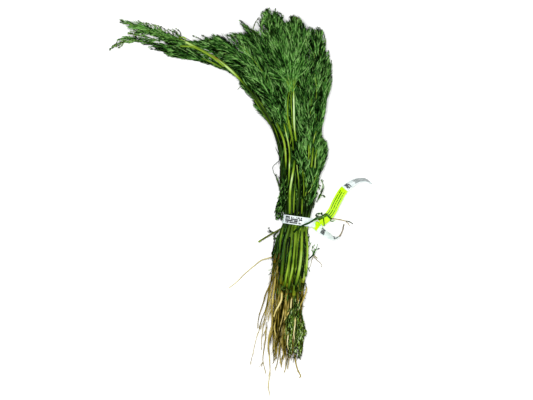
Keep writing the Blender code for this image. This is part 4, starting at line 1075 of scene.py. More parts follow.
def piece(strands, name, materials, node):
    """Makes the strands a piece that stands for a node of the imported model."""
    made = strands.made(name, materials)
    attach(made, "root")
    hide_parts(node)


def bent_way(first, last, s):
    """Where a strand one long has come at these shares, as it bends from one way to another."""
    return first * (s - s**2 / 2) + last * (s**2 / 2)


def lay(foot, first, last, length, rings):
    """Strands that leave a foot in one direction and bend towards another."""
    s = np.linspace(0, 1, rings)[:, None]
    way = bent_way(first[..., None, :], last[..., None, :], s)
    return foot[..., None, :] + np.asarray(length)[..., None, None] * way


def pinna_share(share):
    """How long a pinna is, against the longest, this far along the leaf: longest below its middle."""
    return (0.50 + 2.0 * share) * (1.12 - share) ** 1.1


class KeptClear:
    """Stalks that lie bare on top of the leaves: nothing is laid over them."""

    def __init__(self):
        self.lines = []

    def add(self, points, width):
        self.lines.append((points, width))

    def free(self, points):
        """Which strands, given as (strands, rings, 3), don't cross over a bare stalk."""
        free = np.ones(len(points), bool)
        for line, width in self.lines:
            low = line[:, :2].min(0) - width
            high = line[:, :2].max(0) + width
            near = ((points[..., :2] > low) & (points[..., :2] < high)).all(-1).any(-1)
            near &= free
            if not near.any():
                continue
            off = points[near][:, :, None] - line
            flat = np.hypot(off[..., 0], off[..., 1])
            free[near] = ~((flat < width) & (off[..., 2] > -CLEAR_BELOW)).any((1, 2))
        return free


clear = KeptClear()


def painted_place_shade(points):
    """How much darker each strand is for the place where it lies: painted shade, or lighter if
    negative.
    """
    middle = points[:, points.shape[1] // 2, :2]
    darker = np.zeros(len(points))
    for x, y, reach, depth in PAINTED_SHADE_SPOTS:
        gap = np.hypot(middle[:, 0] - x * MM, middle[:, 1] - y * MM)
        darker += depth * np.exp(-((gap / (reach * MM)) ** 2))
    return darker


def painted_depth_tone(points, core, face):
    """Painted light on strands that stand out from the core, and painted shade on those that don't."""
    out = ((points[:, points.shape[1] // 2] - core) * face).sum(-1)
    return PAINTED_DEPTH_TONE * np.clip((out - STAND_OUT) / DEPTH_REACH, *DEPTH_LIMITS)


def painted_face_tone(out, face):
    """Painted light on strands that leave their stalk towards the face, and painted shade if not."""
    return PAINTED_FACE_LIGHT * np.clip((out * face).sum(-1) * 2, -1, 1)


def turned_out(level, lift, pairs, roll):
    """Directions away from a stalk: to one side and the other by turns, rolled out of the level."""
    sign = np.tile([-1.0, 1.0], pairs)[:, None]
    return level * sign * np.cos(roll) + lift * np.sin(roll)


def grow_feather(strands, rib, side, up, size, tone, draw, pairs=PINNA_PAIRS, bare=0.12, clip=True,
                 pale_rib=0.0, reach=THREAD_LENGTH, dry=0.0, face=None, core=None, uneven=0.41,
                 threads=THREAD_PAIRS, thick=1.0, slot=0):
    """A leaf along a rib: the rib, pinnae in pairs on it, and threads in pairs on every pinna.

    Painted light and shade: what stands out from the rib towards the face is lighter, and what lies
    under it is darker. So is what stands out from the core, the plant's own line beside the rib.
    """
    face = up.mean(0) if face is None else face
    core = rib - face * STAND_OUT if core is None else core
    ahead = unit(np.gradient(rib, axis=0))
    shares = np.linspace(0, 1, len(rib))
    radii = RIB_RADIUS * (1 - RIB_TAPER * shares)
    if clear.free(rib[None])[0]:
        rib_tone = tone + pale_rib - painted_place_shade(rib[None])
        strands.add(rib[None], radii, rib_tone, dry, int(pale_rib > 0), 4)

    # The pinnae: where they leave the rib, and their first and last directions.
    at = bare + (1 - bare) * (np.arange(pairs) + draw.uniform(0, 0.9, pairs)) / pairs
    at = np.repeat(at, 2)
    foot, along, level, lift, core = (
        columns_at(at, shares, rows) for rows in (rib, ahead, side, up, core)
    )
    out = turned_out(level, lift, pairs, draw.normal(0, PINNA_ROLL, (len(at), 1)))
    angle = np.radians(PINNA_ANGLE) + draw.normal(0, PINNA_ANGLE_SPREAD, (len(at), 1))
    first = along * np.cos(angle) + out * np.sin(angle)
    usual, spread = PINNA_TURN
    last = unit(along + out * (usual + draw.normal(0, spread, (len(at), 1))))
    share = (at - bare) / (1 - bare)
    length = size * pinna_share(share) * draw.uniform(*PINNA_LENGTHS, len(at))
    pinnae = lay(foot, first, last, length, PINNA_RINGS)
    kept = clear.free(pinnae)
    if clip:
        inside = inside_outline(pinnae[:, -1] + last * EDGE_MARGIN)
        short = lay(foot, first, last, length * 0.5, PINNA_RINGS)
        saved = ~inside & inside_outline(short[:, -1])
        pinnae[saved] = short[saved]
        length = np.where(saved, length * 0.5, length)
        kept &= inside | saved
    if not kept.any():
        return
    foot, first, last, length, out, along, core, pinnae = (
        values[kept] for values in (foot, first, last, length, out, along, core, pinnae)
    )
    shade = tone + draw.normal(0, uneven, len(pinnae)) - painted_place_shade(pinnae)
    shade += painted_face_tone(out, face) + painted_depth_tone(pinnae, core, face)
    radii = thick * PINNA_RADIUS * np.linspace(1, PINNA_TIP, PINNA_RINGS)
    strands.add(pinnae, radii, shade, dry, slot)

    # The threads: t is where they leave their pinna.
    where = (np.arange(threads) + draw.uniform(0, 0.9, (len(pinnae), threads))) / threads
    where = np.repeat(0.05 + 0.85 * where, 2, axis=1)
    t = where[..., None]
    base = foot[:, None] + length[:, None, None] * bent_way(first[:, None], last[:, None], t)
    tangent = unit(first[:, None] * (1 - t) + last[:, None] * t)
    flat = unit(np.cross(along, out))[:, None]
    wing = unit(np.cross(flat, tangent))
    out = turned_out(wing, flat, threads, draw.normal(0, THREAD_ROLL, t.shape))
    angle = np.radians(THREAD_ANGLE) + draw.normal(0, THREAD_ANGLE_SPREAD, t.shape)
    first = tangent * np.cos(angle) + out * np.sin(angle)
    usual, spread = THREAD_TURN
    last = unit(tangent + out * (usual + draw.normal(0, spread, t.shape)))
    grown = reach * (1 - 0.30 * where) * draw.uniform(*THREAD_LENGTHS, where.shape)
    grown = grown * np.clip(length / PINNA_LENGTH + 0.35, 0.5, 1.2)[:, None]
    fine = lay(base, first, last, grown, THREAD_RINGS).reshape(-1, THREAD_RINGS, 3)
    shade = np.repeat(shade, 2 * threads) - THREAD_DARKER + draw.normal(0, THREAD_UNEVEN, len(fine))
    shade += painted_face_tone(out, face).ravel()
    kept = clear.free(fine)
    if clip:
        kept &= inside_outline(fine[:, THREAD_RINGS // 2])
    radii = thick * THREAD_RADIUS * np.linspace(1, THREAD_TIP, THREAD_RINGS)
    strands.add(fine[kept], radii, shade[kept], dry, slot)


def level_sides(line):
    """Level sideways directions along a line, and the directions square to both."""
    ahead = unit(np.gradient(line, axis=0))
    side = unit(np.cross(ahead, (0, 0, 1.0)))
    return side, np.cross(side, ahead)


def laid_feather(strands, points, size, tone, dry, draw, **options):
    """A leaf along points in millimetres, with its longest pinna in millimetres."""
    points = np.array(points, float) * MM
    reach = np.linalg.norm(np.diff(points, axis=0), axis=1).sum()
    rib = smooth_line(points, RIB_POINTS)
    side, up = level_sides(rib)
    pairs = int(np.clip(reach / LAID_PAIR_GAP, *LAID_PAIRS))
    options["reach"] = min(0.40 * size * MM + 0.0028, THREAD_LENGTH)
    grow_feather(strands, rib, side, up, size * MM, tone, draw, pairs, 0.04, dry=dry, **options)


def rows_up_line(plan, rows_up, count):
    """A line in plan raised to lie so many rows up in the bunch, from one end to the other."""
    line = smooth_line(np.array(plan, float)[:, :2] * MM, count)
    heights = smooth_through(ROW_HEIGHTS, line[:, 1])
    z = heights[:, 0] + np.linspace(*rows_up, count) * heights[:, 1]
    return np.column_stack([line, z])


def stem_radius(along):
    return STEM_SLIM * smooth_through(STEM_RADII, along)[..., 0]


def round_tie(along):
    """Nought where the tie grips the stems, rising to one away from it."""
    return 1 - np.exp(-((along / TIE_GRIP) ** 2))


def bright_stalk(middle, radii, own_tone):
    """The look of the bare stalk on the branch: its radii, its tone and how brown it is."""
    x = middle[:, 0]
    radii = np.minimum(np.maximum(radii, by_stops(STALK_LEAST, x)), by_stops(STALK_MOST, x))
    tone = by_stops((*STALK_TONES, (STALK_OWN_TONE_AT, own_tone)), x)
    joint, reach, depth = JOINT
    return radii, tone, depth * np.exp(-(((x - joint) / reach) ** 2))


def grow_stem(strands, plant, draw):
    """The stalk, ridged and slightly uneven, with two thin stalks beside it."""
    along = np.arange(plant.base, plant.top - 0.02, STEM_STEP)
    points, side, up = plant.frames(along)
    outside = np.flatnonzero(~inside_outline(points) & (along > 0.1))
    if len(outside):
        points, side, up, along = (values[: outside[0]] for values in (points, side, up, along))
    phase = draw.uniform(0, math.tau, 3)
    sway = SWAY * round_tie(along) * np.sin(along * SWAY_RATE + phase[0])
    middle = points + side * sway[:, None]
    radii = stem_radius(along) * (1 + STEM_UNEVEN * np.sin(along * STEM_UNEVEN_RATE + phase[1]))
    radii[-1] *= 0.3
    # Stems that are seen but not on top, and hidden ones, are darker: painted shade.
    below, above = STEM_TONES[plant.column] if plant.on_top else SHADED_SEEN_STEM_TONES
    if not plant.seen:
        below, above = SHADED_HIDDEN_STEM_TONES
    tone = np.interp(along, (-0.01, 0.01), (below, above))
    dry = FOOT_DRY * np.clip((plant.base + FOOT_LENGTH - along) / FOOT_LENGTH, 0, 1)
    if plant.place == STALK_PLANT:
        radii, tone, brown = bright_stalk(middle, radii, above)
        middle[:, 2] -= by_stops(STALK_LOWERED, middle[:, 0])
        dry = dry + brown
    strands.add(middle[None], radii, tone[None], dry[None], 1, STEM_SIDES, True, STEM_RIDGE)
    for _ in range(SIDE_STALKS):
        first, last = draw.integers(1, 5), draw.uniform(0.02, 0.12)
        part = (along > along[first]) & (along < last)
        turn = draw.uniform(0, math.pi) if plant.on_top else draw.uniform(0, math.tau)
        turn = turn + 0.5 * np.sin(along * draw.uniform(8, 25) + phase[2])
        away = SIDE_STALK_AWAY * round_tie(along)
        thin = middle + (side * np.cos(turn)[:, None] + up * np.sin(turn)[:, None]) * away[:, None]
        thick = draw.uniform(*SIDE_STALK_RADII) * np.interp(along[part], (0, 0.1), (1, 0.6))
        # The thin stalks are kept darker than their stem: painted shade in the gaps between the stems.
        shade = np.clip(tone[part] * draw.uniform(0.0, 0.75) + draw.normal(-0.06, 0.10), -0.2, 0.8)
        strands.add(thin[part][None], thick, shade[None], 0.0, 1, 6, True)


def add_strays(strands, plant, draw):
    """Fine threads and thin leaf stalks that run along the stems, between and over them."""
    for _ in range(STRAYS_ON_TOP if plant.on_top else STRAYS_BELOW):
        start = draw.uniform(plant.base - 0.004, 0.070)
        along = start + np.linspace(0, draw.uniform(*STRAY_LENGTHS), STRAY_RINGS)
        points, side, up = plant.frames(along)
        turn = plant.outward_angle(start) + draw.normal(0, 0.8)
        away = 0.0018 + 0.0012 * draw.uniform(0, 1) * round_tie(along)
        drift = draw.normal(0, 0.0022) * np.linspace(-1, 1, STRAY_RINGS) * round_tie(along)
        line = points + (side * math.cos(turn) + up * math.sin(turn)) * away[:, None]
        line = line + side * drift[:, None]
        at_tie = abs(start) < 0.010 or start < 0 < along[-1]
        if at_tie:
            continue
        shade = draw.uniform(-0.05, 0.65)
        radius = draw.uniform(*STRAY_RADII)
        strands.add(line[None], radius, shade, draw.uniform(0, 0.12), 0, 4, True)


def add_undergrowth(strands, plant, draw):
    """Dark threads beside and below the stems, which close the gaps between them as painted shade."""
    count, rings = UNDERGROWTH, UNDERGROWTH_RINGS
    low = draw.uniform(size=count) < UNDERGROWTH_LOW_SHARE
    start = np.where(low, draw.uniform(plant.base, -0.036, count), draw.uniform(0.010, 0.112, count))
    length = draw.uniform(*UNDERGROWTH_LENGTHS, count)
    turn = draw.uniform(math.pi, math.tau, count)
    away = draw.uniform(*UNDERGROWTH_AWAY, count)
    drift = draw.normal(0, 0.0015, count)
    lines = []
    for i in range(count):
        along = start[i] + np.linspace(0, length[i], rings)
        points, side, up = plant.frames(along)
        open_up = round_tie(along)[:, None]
        sideways = math.cos(turn[i]) * away[i] + drift[i] * np.linspace(-1, 1, rings)
        offset = side * sideways[:, None] + up * math.sin(turn[i]) * away[i]
        lines.append(points + offset * open_up)
    lines = np.array(lines)
    free = clear.free(lines) & (inside_outline(lines).all(1) | low)
    shade = draw.uniform(-0.10, 0.20, count)
    strands.add(lines[free], UNDERGROWTH_RADIUS * np.linspace(1, 0.6, rings), shade[free])


def leafy_rib(plant, along, length, draw):
    """A leaf's rib that leaves its plant outwards and runs on beside it, with its directions."""
    angle = plant.outward_angle(along) + draw.uniform(-1.2, 1.2)
    lift = draw.uniform(0.002, 0.010)
    drift = draw.uniform(-0.011, 0.011)
    roll = draw.uniform(-0.5, 0.5)
    s = np.linspace(0, 1, RIB_POINTS)
    points, side, up = plant.frames(along + s * length)
    outwards = side * math.cos(angle) + up * math.sin(angle)
    rise = 0.0036 * np.minimum(s / 0.16, 1) + lift * s**1.4
    wave = 0.0012 * np.sin(s * draw.uniform(3, 8) + draw.uniform(0, 6))
    rib = points + outwards * rise[:, None] + side * (drift * s**1.5 + wave)[:, None]
    across = side * math.cos(roll) + up * math.sin(roll)
    facing = np.cross(across, unit(np.gradient(rib, axis=0)))
    return (rib, across, facing, points), outwards.mean(0)


def within(rib, *others):
    """The part of a rib, and of what goes with it, up to where the rib leaves the outline."""
    outside = np.flatnonzero(~inside_outline(rib))
    end = outside[0] if len(outside) else len(rib)
    return [values[:end] for values in (rib, *others)]


def grow_leaves(strands, plant, draw):
    """The leaves along a plant, and the last one, which goes on in the stem's line."""
    count = plant.by_place(LEAVES_ON_TOP, LEAVES_SEEN, LEAVES_HIDDEN)
    start = LEAVES_START[plant.column]
    if plant.place == STALK_PLANT:
        start, count = plant.top - STALK_LEAVES_FROM, STALK_LEAVES
    # Leaves on the bunch's other sides and inside it are darker: painted shade.
    depth = plant.by_place(*INNER_LEAF_SHADE)
    for k in range(count):
        share = (k + draw.uniform(0.1, 0.9)) / count
        along = start + share**1.15 * (plant.top - 0.030 - start)
        reach = min(0.6 + 3.0 * share, 1.0)
        length = min(draw.uniform(*LEAF_LENGTH) * reach, plant.top + 0.004 - along)
        lines, face = leafy_rib(plant, along, length, draw)
        rib, across, up, core = within(*lines)
        tone = LEAF_TONE + LEAF_TONE_SPREAD * draw.normal() + depth
        pale = PALE_RIB if draw.uniform() < PALE_SHARE else 0.0
        size = PINNA_LENGTH * reach * draw.uniform(0.7, 1.1)
        at_tip = len(rib) > SHORTEST_RIB and rib[:, 0].mean() < BRANCH_TIP
        if len(rib) > SHORTEST_RIB and not (at_tip and k % 2):
            size *= np.clip((rib[:, 0].mean() + 0.205) / 0.060, 0.35, 1)
            options = {"pale_rib": pale, "face": face, "core": core}
            grow_feather(strands, rib, across, up, size, tone, draw, **options)
    s = np.linspace(0, 1, RIB_POINTS)
    points, side, up = plant.frames(plant.top - LAST_LEAF + s * (LAST_LEAF - 0.003))
    rib = within(points, side, up)
    if len(rib[0]) > SHORTEST_RIB:
        grow_feather(strands, *rib, LAST_PINNA, LAST_TONE + depth, draw, bare=0.02)


def grow_fan(strands, draw):
    """The light fan of leaves at the end of the pale stalks, with a bright tuft at its foot."""
    foot = np.array(FAN_FOOT)
    for degrees, reach in FAN_LEAVES:
        away = np.array([*heading(degrees * 0.8), 0.03])
        onward = np.array([*heading(degrees * 0.9 - 4), -0.12])
        rib = lay(foot, away, onward, reach * MM, RIB_POINTS)
        side, up = level_sides(rib)
        options = {"bare": 0.1, "pairs": 10, "reach": 0.008, "uneven": 0.26}
        grow_feather(strands, rib, side, up, 0.015, 0.55, draw, **options)
    degrees = np.radians(draw.uniform(*TUFT_HEADINGS, TUFT))
    away = np.stack([np.sin(degrees), np.cos(degrees), draw.uniform(-0.1, 0.3, TUFT)], -1)
    base = foot + np.array(TUFT_SHIFT) + draw.normal(0, 0.0012, (TUFT, 3))
    tuft = lay(base, away, away, draw.uniform(*TUFT_LENGTHS, TUFT), 3)
    shade = TUFT_TONE + draw.normal(0, 0.10, TUFT)
    thick = TUFT_RADIUS * np.linspace(1, 0.5, 3)
    lively = np.arange(TUFT) % TUFT_LIVELY == 0
    strands.add(tuft[~lively], thick, shade[~lively])
    strands.add(tuft[lively], thick, shade[lively] - 0.04, 0.0, 1)


def add_laid(strands, plant, draw):
    """The listed leaves, stalks, twigs and combs that belong to this plant."""
    for size, tone, dry, *points in PLUMES.get(plant.place, ()):
        laid_feather(strands, points, size, tone, dry, draw, clip=False, threads=3, thick=1.15)
    for radii, rows_up, _, *points in LAID_STALKS.get(plant.place, ()):
        count = 10 * len(points)
        line = rows_up_line(points, rows_up, count)
        s = np.linspace(0, 1, len(points))
        tone = np.interp(np.linspace(0, 1, count), s, [point[2] for point in points])
        thick = np.linspace(*radii, count) * MM
        strands.add(line[None], thick, tone[None], 0.0, 1, 8, True, 0.06)
    for slot, radii, tone, dry, *points in TWIGS.get(plant.place, ()):
        count = 7 * len(points)
        line = smooth_line(np.array(points) * MM, count)
        line[:, 2] += 0.0003 * np.sin(np.linspace(0, 7, count) + draw.uniform(0, 6))
        strands.add(line[None], np.linspace(*radii, count) * MM, tone, dry, slot, 7, True)
    if plant.place == STALK_PLANT:
        for x0, y0, x1, y1 in COMBS:
            bend = (x0 * 0.65 + x1 * 0.35 + 0.8, y0 * 0.45 + y1 * 0.55)
            points = [(x, y, COMB_HEIGHT / MM) for x, y in ((x0, y0), bend, (x1, y1))]
            tone = draw.uniform(0.25, 0.5)
            laid_feather(strands, points, COMB_PINNA, tone, 0.25, draw, clip=False)


def add_low_leaves(strands, plant, draw):
    """The leaves caught among the roots."""
    options = {"clip": False, "uneven": 0.5, "thick": 1.4}
    for rows_up, size, *plan in LOW_LEAVES.get(plant.place, ()):
        points = rows_up_line(plan, rows_up, 8) / MM
        for slot, shift, driest in LOW_LAYERS:
            tone, dry = draw.uniform(0.30, 0.50), driest * draw.uniform(0.6, 1)
            laid_feather(strands, points + (shift, 0, 0), size, tone, dry, draw, slot=slot, **options)


def add_crown(strands, plant, draw):
    """Scraps of sheath and thread round the foot of the stem."""
    count = CROWN_ON_TOP if plant.on_top else CROWN_BELOW
    along = plant.base + draw.uniform(-0.016, 0.004, count)
    points, side, up = plant.frames(along)
    turn = draw.uniform(0, math.tau, count)[:, None]
    out = side * np.cos(turn) + up * np.sin(turn)
    ahead = np.cross(up, side)
    first = unit(out * 0.5 + ahead * draw.normal(0, 1, (count, 1)))
    last = unit(first + side * draw.normal(0, 0.9, (count, 1)) + up * draw.normal(0, 0.4, (count, 1)))
    foot = points + out * CROWN_AWAY
    scraps = lay(foot, first, last, draw.uniform(*CROWN_LENGTHS, count), CROWN_RINGS)
    shade = draw.uniform(-0.1, 0.7, count)
    thick = CROWN_RADIUS * np.linspace(1, 0.5, CROWN_RINGS)
    strands.add(scraps, thick, shade, draw.uniform(0, 0.5, count)[:, None])


def root_lines(plant, node):
    """The middle lines of a packed root and of its side root, read at cuts across the solid."""
    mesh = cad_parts[node].data
    corners = np.zeros(len(mesh.vertices) * 3, np.float32)
    mesh.vertices.foreach_get("co", corners)
    corners = corners.reshape(-1, 3).astype(float) - SHIFT
    edges = np.zeros(len(mesh.edges) * 2, np.int32)
    mesh.edges.foreach_get("vertices", edges)
    ends = corners[edges.reshape(-1, 2)]
    top, bottom = corners[:, 1].max(), corners[:, 1].min()
    centre = plant.points(plant.base)
    main, side = [], []
    for y in np.linspace(top - ROOT_CUT_MARGIN, bottom + ROOT_CUT_MARGIN, ROOT_CUTS):
        low, high = ends[:, 0, 1] - y, ends[:, 1, 1] - y
        crossing = low * high < 0
        share = (low / (low - high + 1e-12))[crossing][:, None]
        cut = ends[crossing, 0] + (ends[crossing, 1] - ends[crossing, 0]) * share
        gap = np.hypot(cut[:, 0] - centre[0], cut[:, 2] - centre[2])
        near = gap < ROOT_REACH
        if near.any():
            centre = cut[near].mean(0)
            main.append(centre)
        if (~near).any():
            side.append(cut[~near].mean(0))
    return np.array(main), np.array(side)


def add_hairs(strands, line, hairs, tone, draw):
    """Fine root hairs that leave a line and trail down beside it: how many, and their lengths."""
    count, lengths = hairs
    at = draw.uniform(0.05, 0.95, count)
    shares = np.linspace(0, 1, len(line))
    foot = columns_at(at, shares, line)
    down = columns_at(at, shares, unit(np.gradient(line, axis=0)))
    first = unit(down + draw.normal(0, 0.40, (count, 3)) * (1, 0.4, 0.7))
    last = unit(down + draw.normal(0, 0.30, (count, 3)) * (1, 0.4, 0.5))
    fine = lay(foot, first, last, draw.uniform(*lengths, count), HAIR_RINGS)
    shade = tone + draw.normal(0, 0.10, count)
    strands.add(fine, HAIR_RADIUS * np.linspace(1, 0.5, HAIR_RINGS), shade)


def add_thin_roots(strands, plant, line, draw):
    """Thin roots that leave the main root's line and run down beside it."""
    count = EDGE_THIN_ROOTS[plant.column] if plant.in_branch else THIN_ROOTS
    # Thin roots outside the branch, and more so right of the middle, are darker: painted shade among
    # roots.
    spread, darkest, green_reach = (0.0018, 0.05, 0.4) if plant.in_branch else (0.0032, -0.45, 0.2)
    lightest = 0.40 if plant.column > 5 else 0.72
    for _ in range(count):
        start = draw.integers(1, 6)
        reach = draw.uniform(*THIN_ROOT_LENGTHS)
        down = plant.base - 0.004 - np.linspace(0, 1, THIN_ROOT_RINGS) * reach
        points, sideways, up = plant.frames(down)
        offset = line[start] - points[0]
        s = np.linspace(0, 1, THIN_ROOT_RINGS)[:, None]
        bend = sideways * draw.normal(0, spread) + up * draw.normal(0, 0.0025)
        wave = sideways * 0.0012 * np.sin(s * draw.uniform(5, 12) + draw.uniform(0, 6)) * s
        thin = points + offset * (1 - 0.3 * s) + bend * s + wave
        shade = draw.uniform(darkest, lightest) + 0.18 * s[:, 0]
        green = np.clip(1 - s[:, 0] / green_reach, 0, 1)
        thick = draw.uniform(*THIN_ROOT_RADII) * np.linspace(1, 0.4, THIN_ROOT_RINGS)
        strands.add(thin[None], thick, (shade - 0.1 * green)[None], green[None], 0, 6)
        add_hairs(strands, thin, THIN_HAIRS, shade[-1], draw)


def add_laid_roots(strands, plant, draw):
    """The listed roots that belong to this plant."""
    for rows_up, ends, shade, *plan in LAID_ROOTS.get(plant.place, ()):
        laid = rows_up_line(plan, rows_up, 6 * len(plan))
        start = np.clip(np.linspace(0, 7, len(laid)), 0.3, 1)
        thick = np.linspace(*ends, len(laid)) * MM * start
        strands.add(laid[None], thick, (shade * start)[None], 0.0, 0, 8, True, 0.05)
        add_hairs(strands, laid, LAID_HAIRS, shade, draw)
    if plant.place == TRAILING_PLANT:
        laid = smooth_line(np.array(TRAILING_ROOT) * MM, 40)
        strands.add(laid[None], np.linspace(0.70, 0.42, 40) * MM, 0.74, 0.22, 0, 7)


def grow_root(plant, draw, materials):
    """A plant's root: the tapered main root, thin roots that run down beside it, and hairs."""
    strands = Strands()
    node = f"{plant.name}_root"
    main, side = root_lines(plant, node)
    line = smooth_line(main, 26)
    line = np.vstack([line[:1] + (0, 0.004, 0), line])
    if plant.place == LONG_ROOT_PLANT:
        line[:, 0] += np.interp(-line[:, 1], LONG_ROOT_AT, LONG_ROOT_ASIDE)
    share = np.linspace(0, 1, len(line))
    ripple = 1 + 0.10 * np.sin(share * draw.uniform(30, 45) + draw.uniform(0, 6))
    thick, darkest = (EDGE_ROOT_RADIUS, 0.10) if plant.in_branch else (ROOT_RADIUS, 0.05)
    radii = (thick * np.maximum(1 - 1.15 * share, 0) ** 1.2 + ROOT_TIP_RADIUS) * ripple
    tone = 0.66 if plant.place == LONG_ROOT_PLANT else draw.uniform(darkest, 0.55)
    green = np.clip(1 - share / 0.16, 0, 1)
    strands.add(line[None], radii, (tone - 0.2 * green)[None], green[None], 0, 9, True, 0.05)
    add_hairs(strands, line, MAIN_HAIRS, tone, draw)
    if len(side) > 4 and plant.place != TRAILING_PLANT:
        side = smooth_line(side, 12)
        strands.add(side[None], np.linspace(0.0006, 0.0003, 12), tone + 0.1, 0.0, 0, 6)
        add_hairs(strands, side, SIDE_HAIRS, tone, draw)
    add_thin_roots(strands, plant, line, draw)
    add_laid_roots(strands, plant, draw)
    piece(strands, node + "_strands", materials, node)


# Twist tie. Across the bunch it lies square to the stems, which lean by this much to the right.
TIE_LEAN = math.radians(8)
TIE_WIDTH = 0.0095
TIE_THICKNESS = 0.00045
WIRE_RADIUS = 0.00045
TWIST_AT = 0.0200
TWIST_HEIGHT = 0.0150
TWIST_LENGTH = 0.0070
TWIST_WIDTH = 0.0042
TWIST_OFFSET = 0.0007
ARC_SIDES = 28
LOOP_RINGS = 120
# The two free ends: points of the middle line, and how far the strip has rolled onto its edge there.
UPPER_END = (
    ((0.0262, -0.0025, 0.0152), 0),
    ((0.0310, 0.0010, 0.0158), 0),
    ((0.0380, 0.0085, 0.0160), 0),
    ((0.0446, 0.0215, 0.0155), 5),
    ((0.0525, 0.0340, 0.0140), 18),
    ((0.0590, 0.0395, 0.0125), 38),
    ((0.0675, 0.0440, 0.0105), 55),
    ((0.0765, 0.0445, 0.0085), 66),
    ((0.0830, 0.0408, 0.0068), 82),
)
LOWER_END = (
    ((0.0208, -0.0040, 0.0142), 20),
    ((0.0240, -0.0078, 0.0125), 30),
    ((0.0285, -0.0118, 0.0105), 38),
    ((0.0350, -0.0162, 0.0085), 48),
    ((0.0405, -0.0190, 0.0072), 60),
    ((0.0460, -0.0185, 0.0062), 80),
    ((0.0500, -0.0130, 0.0056), 88),
    ((0.0525, -0.0040, 0.0054), 90),
)
# Across the strip, from edge to edge, where its section has corners.
STRIP_LANES = (-1.0, -0.97, -0.6, -0.2, -0.08, 0.0, 0.08, 0.2, 0.6, 0.97, 1.0)
# The strip thins to this share at its edges, and the wire's ridge is this wide.
EDGE_SHARE = 0.3
RIDGE_REACH = 0.085
FREE_END_RINGS = 60
TWIST_RINGS = 26
# The twist starts this much inside the loop.
TWIST_OVERLAP = 0.001
# The loop has print on its upper side, between these distances across the bunch.
PRINT_FACING = 0.75
PRINT_ACROSS = (-0.013, 0.006)
# How far along each free end its colours change, in millimetres, and the slot after each change.
UPPER_ZONES = ((0, 1), (46, 0))
LOWER_ZONES = ((0, 1), (5.5, 0))
# Plain print along each free end, from and to in millimetres: dashes are 1 and bars are 2.
UPPER_MARKS = ((10, 43, 1), (49, 55, 1), (60, 78, 2))
LOWER_MARKS = ((9, 15, 1), (26, 34, 1))
# Where the lower end is stained brown, from and to in millimetres.
LOWER_STAIN = (33, 60)


class Tie:
    """The strip's mesh, gathered run by run."""

    def __init__(self):
        self.corners, self.quads, self.slots, self.looks = [], [], [], []
        self.count = 0

    def add(self, middle, wide, thick, width, zones, marks, closed=False, stain=(0, 0)):
        """A run of strip: middle points, unit directions across and through it, and its width.

        Its corners' tone holds the kind of print there, and their dryness the stain.
        """
        lanes = np.array(STRIP_LANES)
        ridge = WIRE_RADIUS * np.exp(-((lanes / RIDGE_REACH) ** 2))
        half = TIE_THICKNESS / 2 * np.where(np.abs(lanes) < 1, 1, EDGE_SHARE) + ridge
        width = np.broadcast_to(width, len(middle))
        flat = middle[:, None] + wide[:, None] * (lanes * width[:, None] / 2)[..., None]
        upper = flat + thick[:, None] * half[:, None]
        lower = flat - thick[:, None] * half[:, None]
        section = np.concatenate([upper, lower[:, ::-1]], 1)
        section[..., 2] = np.maximum(section[..., 2], LOWEST / 2)
        sides = section.shape[1]
        run = run_along(middle)
        rings = len(middle)
        i = np.arange(rings if closed else rings - 1)[:, None]
        j = np.arange(sides)
        after = (i + 1) % rings
        k = (j + 1) % sides
        quads = np.stack([i * sides + j, i * sides + k, after * sides + k, after * sides + j], -1)
        quads = quads.reshape(-1, 4)
        slots = np.zeros(len(i), int)
        for start, slot in zones:
            slots[run[: len(i)] >= start * MM] = slot
        slots = np.repeat(slots, sides)
        if not closed:
            caps = []
            for ring in (0, rings - 1):
                for a in range(len(lanes) - 1):
                    b = sides - 1 - a
                    cap = [ring * sides + n for n in (a, a + 1, b - 1, b)]
                    caps.append(cap[::-1] if ring == rings - 1 else cap)
            quads = np.vstack([quads, caps])
            slots = np.concatenate([slots, np.full(len(caps), slots[-1])])
        lane = np.concatenate([lanes, lanes[::-1]])
        looks = np.zeros((rings, sides, 6))
        looks[..., 3] = lane
        looks[..., 4] = np.where(np.arange(sides) < len(lanes), 1, -1)
        looks[..., 5] = run[:, None] * 100
        for start, end, kind in marks:
            looks[(run >= start * MM) & (run < end * MM), :, 0] = kind
        looks[(run >= stain[0] * MM) & (run < stain[1] * MM), :, 1] = 1
        self.corners.append(section.reshape(-1, 3))
        self.quads.append(quads + self.count)
        self.slots.append(slots)
        self.looks.append(looks.reshape(-1, 6))
        self.count += rings * sides

    def made(self, name, materials):
        corners = np.concatenate(self.corners) + SHIFT
        quads = np.concatenate(self.quads)
        none = np.zeros((0, 3), int)
        slots = np.concatenate(self.slots)
        return mesh_object(name, corners, quads, none, slots, np.concatenate(self.looks), materials)


def tie_axes():
    """The directions across the bunch, in the tie's plane, and along its stems."""
    across = np.array([math.cos(TIE_LEAN), -math.sin(TIE_LEAN), 0])
    along = np.array([math.sin(TIE_LEAN), math.cos(TIE_LEAN), 0])
    return across, along


def tie_loop(plants):
    """The middle line of the taut loop, as points and outward directions in the tie's plane."""
    across, along = tie_axes()
    circles = [((TWIST_AT, TWIST_HEIGHT), SOLID_TIE_THICKNESS)]
    for plant in plants:
        station = 0.0
        for _ in range(3):
            station -= plant.points(station) @ along
        point = plant.points(station)
        circles.append(((point @ across, point[2]), STEM_DIAMETER / 2 + GAP + TIE_EASE))
    swollen, outwards = [], []
    for centre, radius in circles:
        for i in range(ARC_SIDES):
            angle = math.tau * i / ARC_SIDES
            outward = np.array([math.cos(angle), math.sin(angle)])
            swollen.append(np.array(centre) + outward * (radius + SOLID_TIE_THICKNESS / 2))
            outwards.append(outward)
    hull = convex_hull_2d([Vector(point) for point in swollen])
    points = np.array([swollen[i] for i in (*hull, hull[0])])
    turned = np.array([outwards[i] for i in (*hull, hull[0])])
    run = run_along(points)
    at = np.linspace(0, run[-1], LOOP_RINGS, endpoint=False)
    return columns_at(at, run, points), unit(columns_at(at, run, turned))


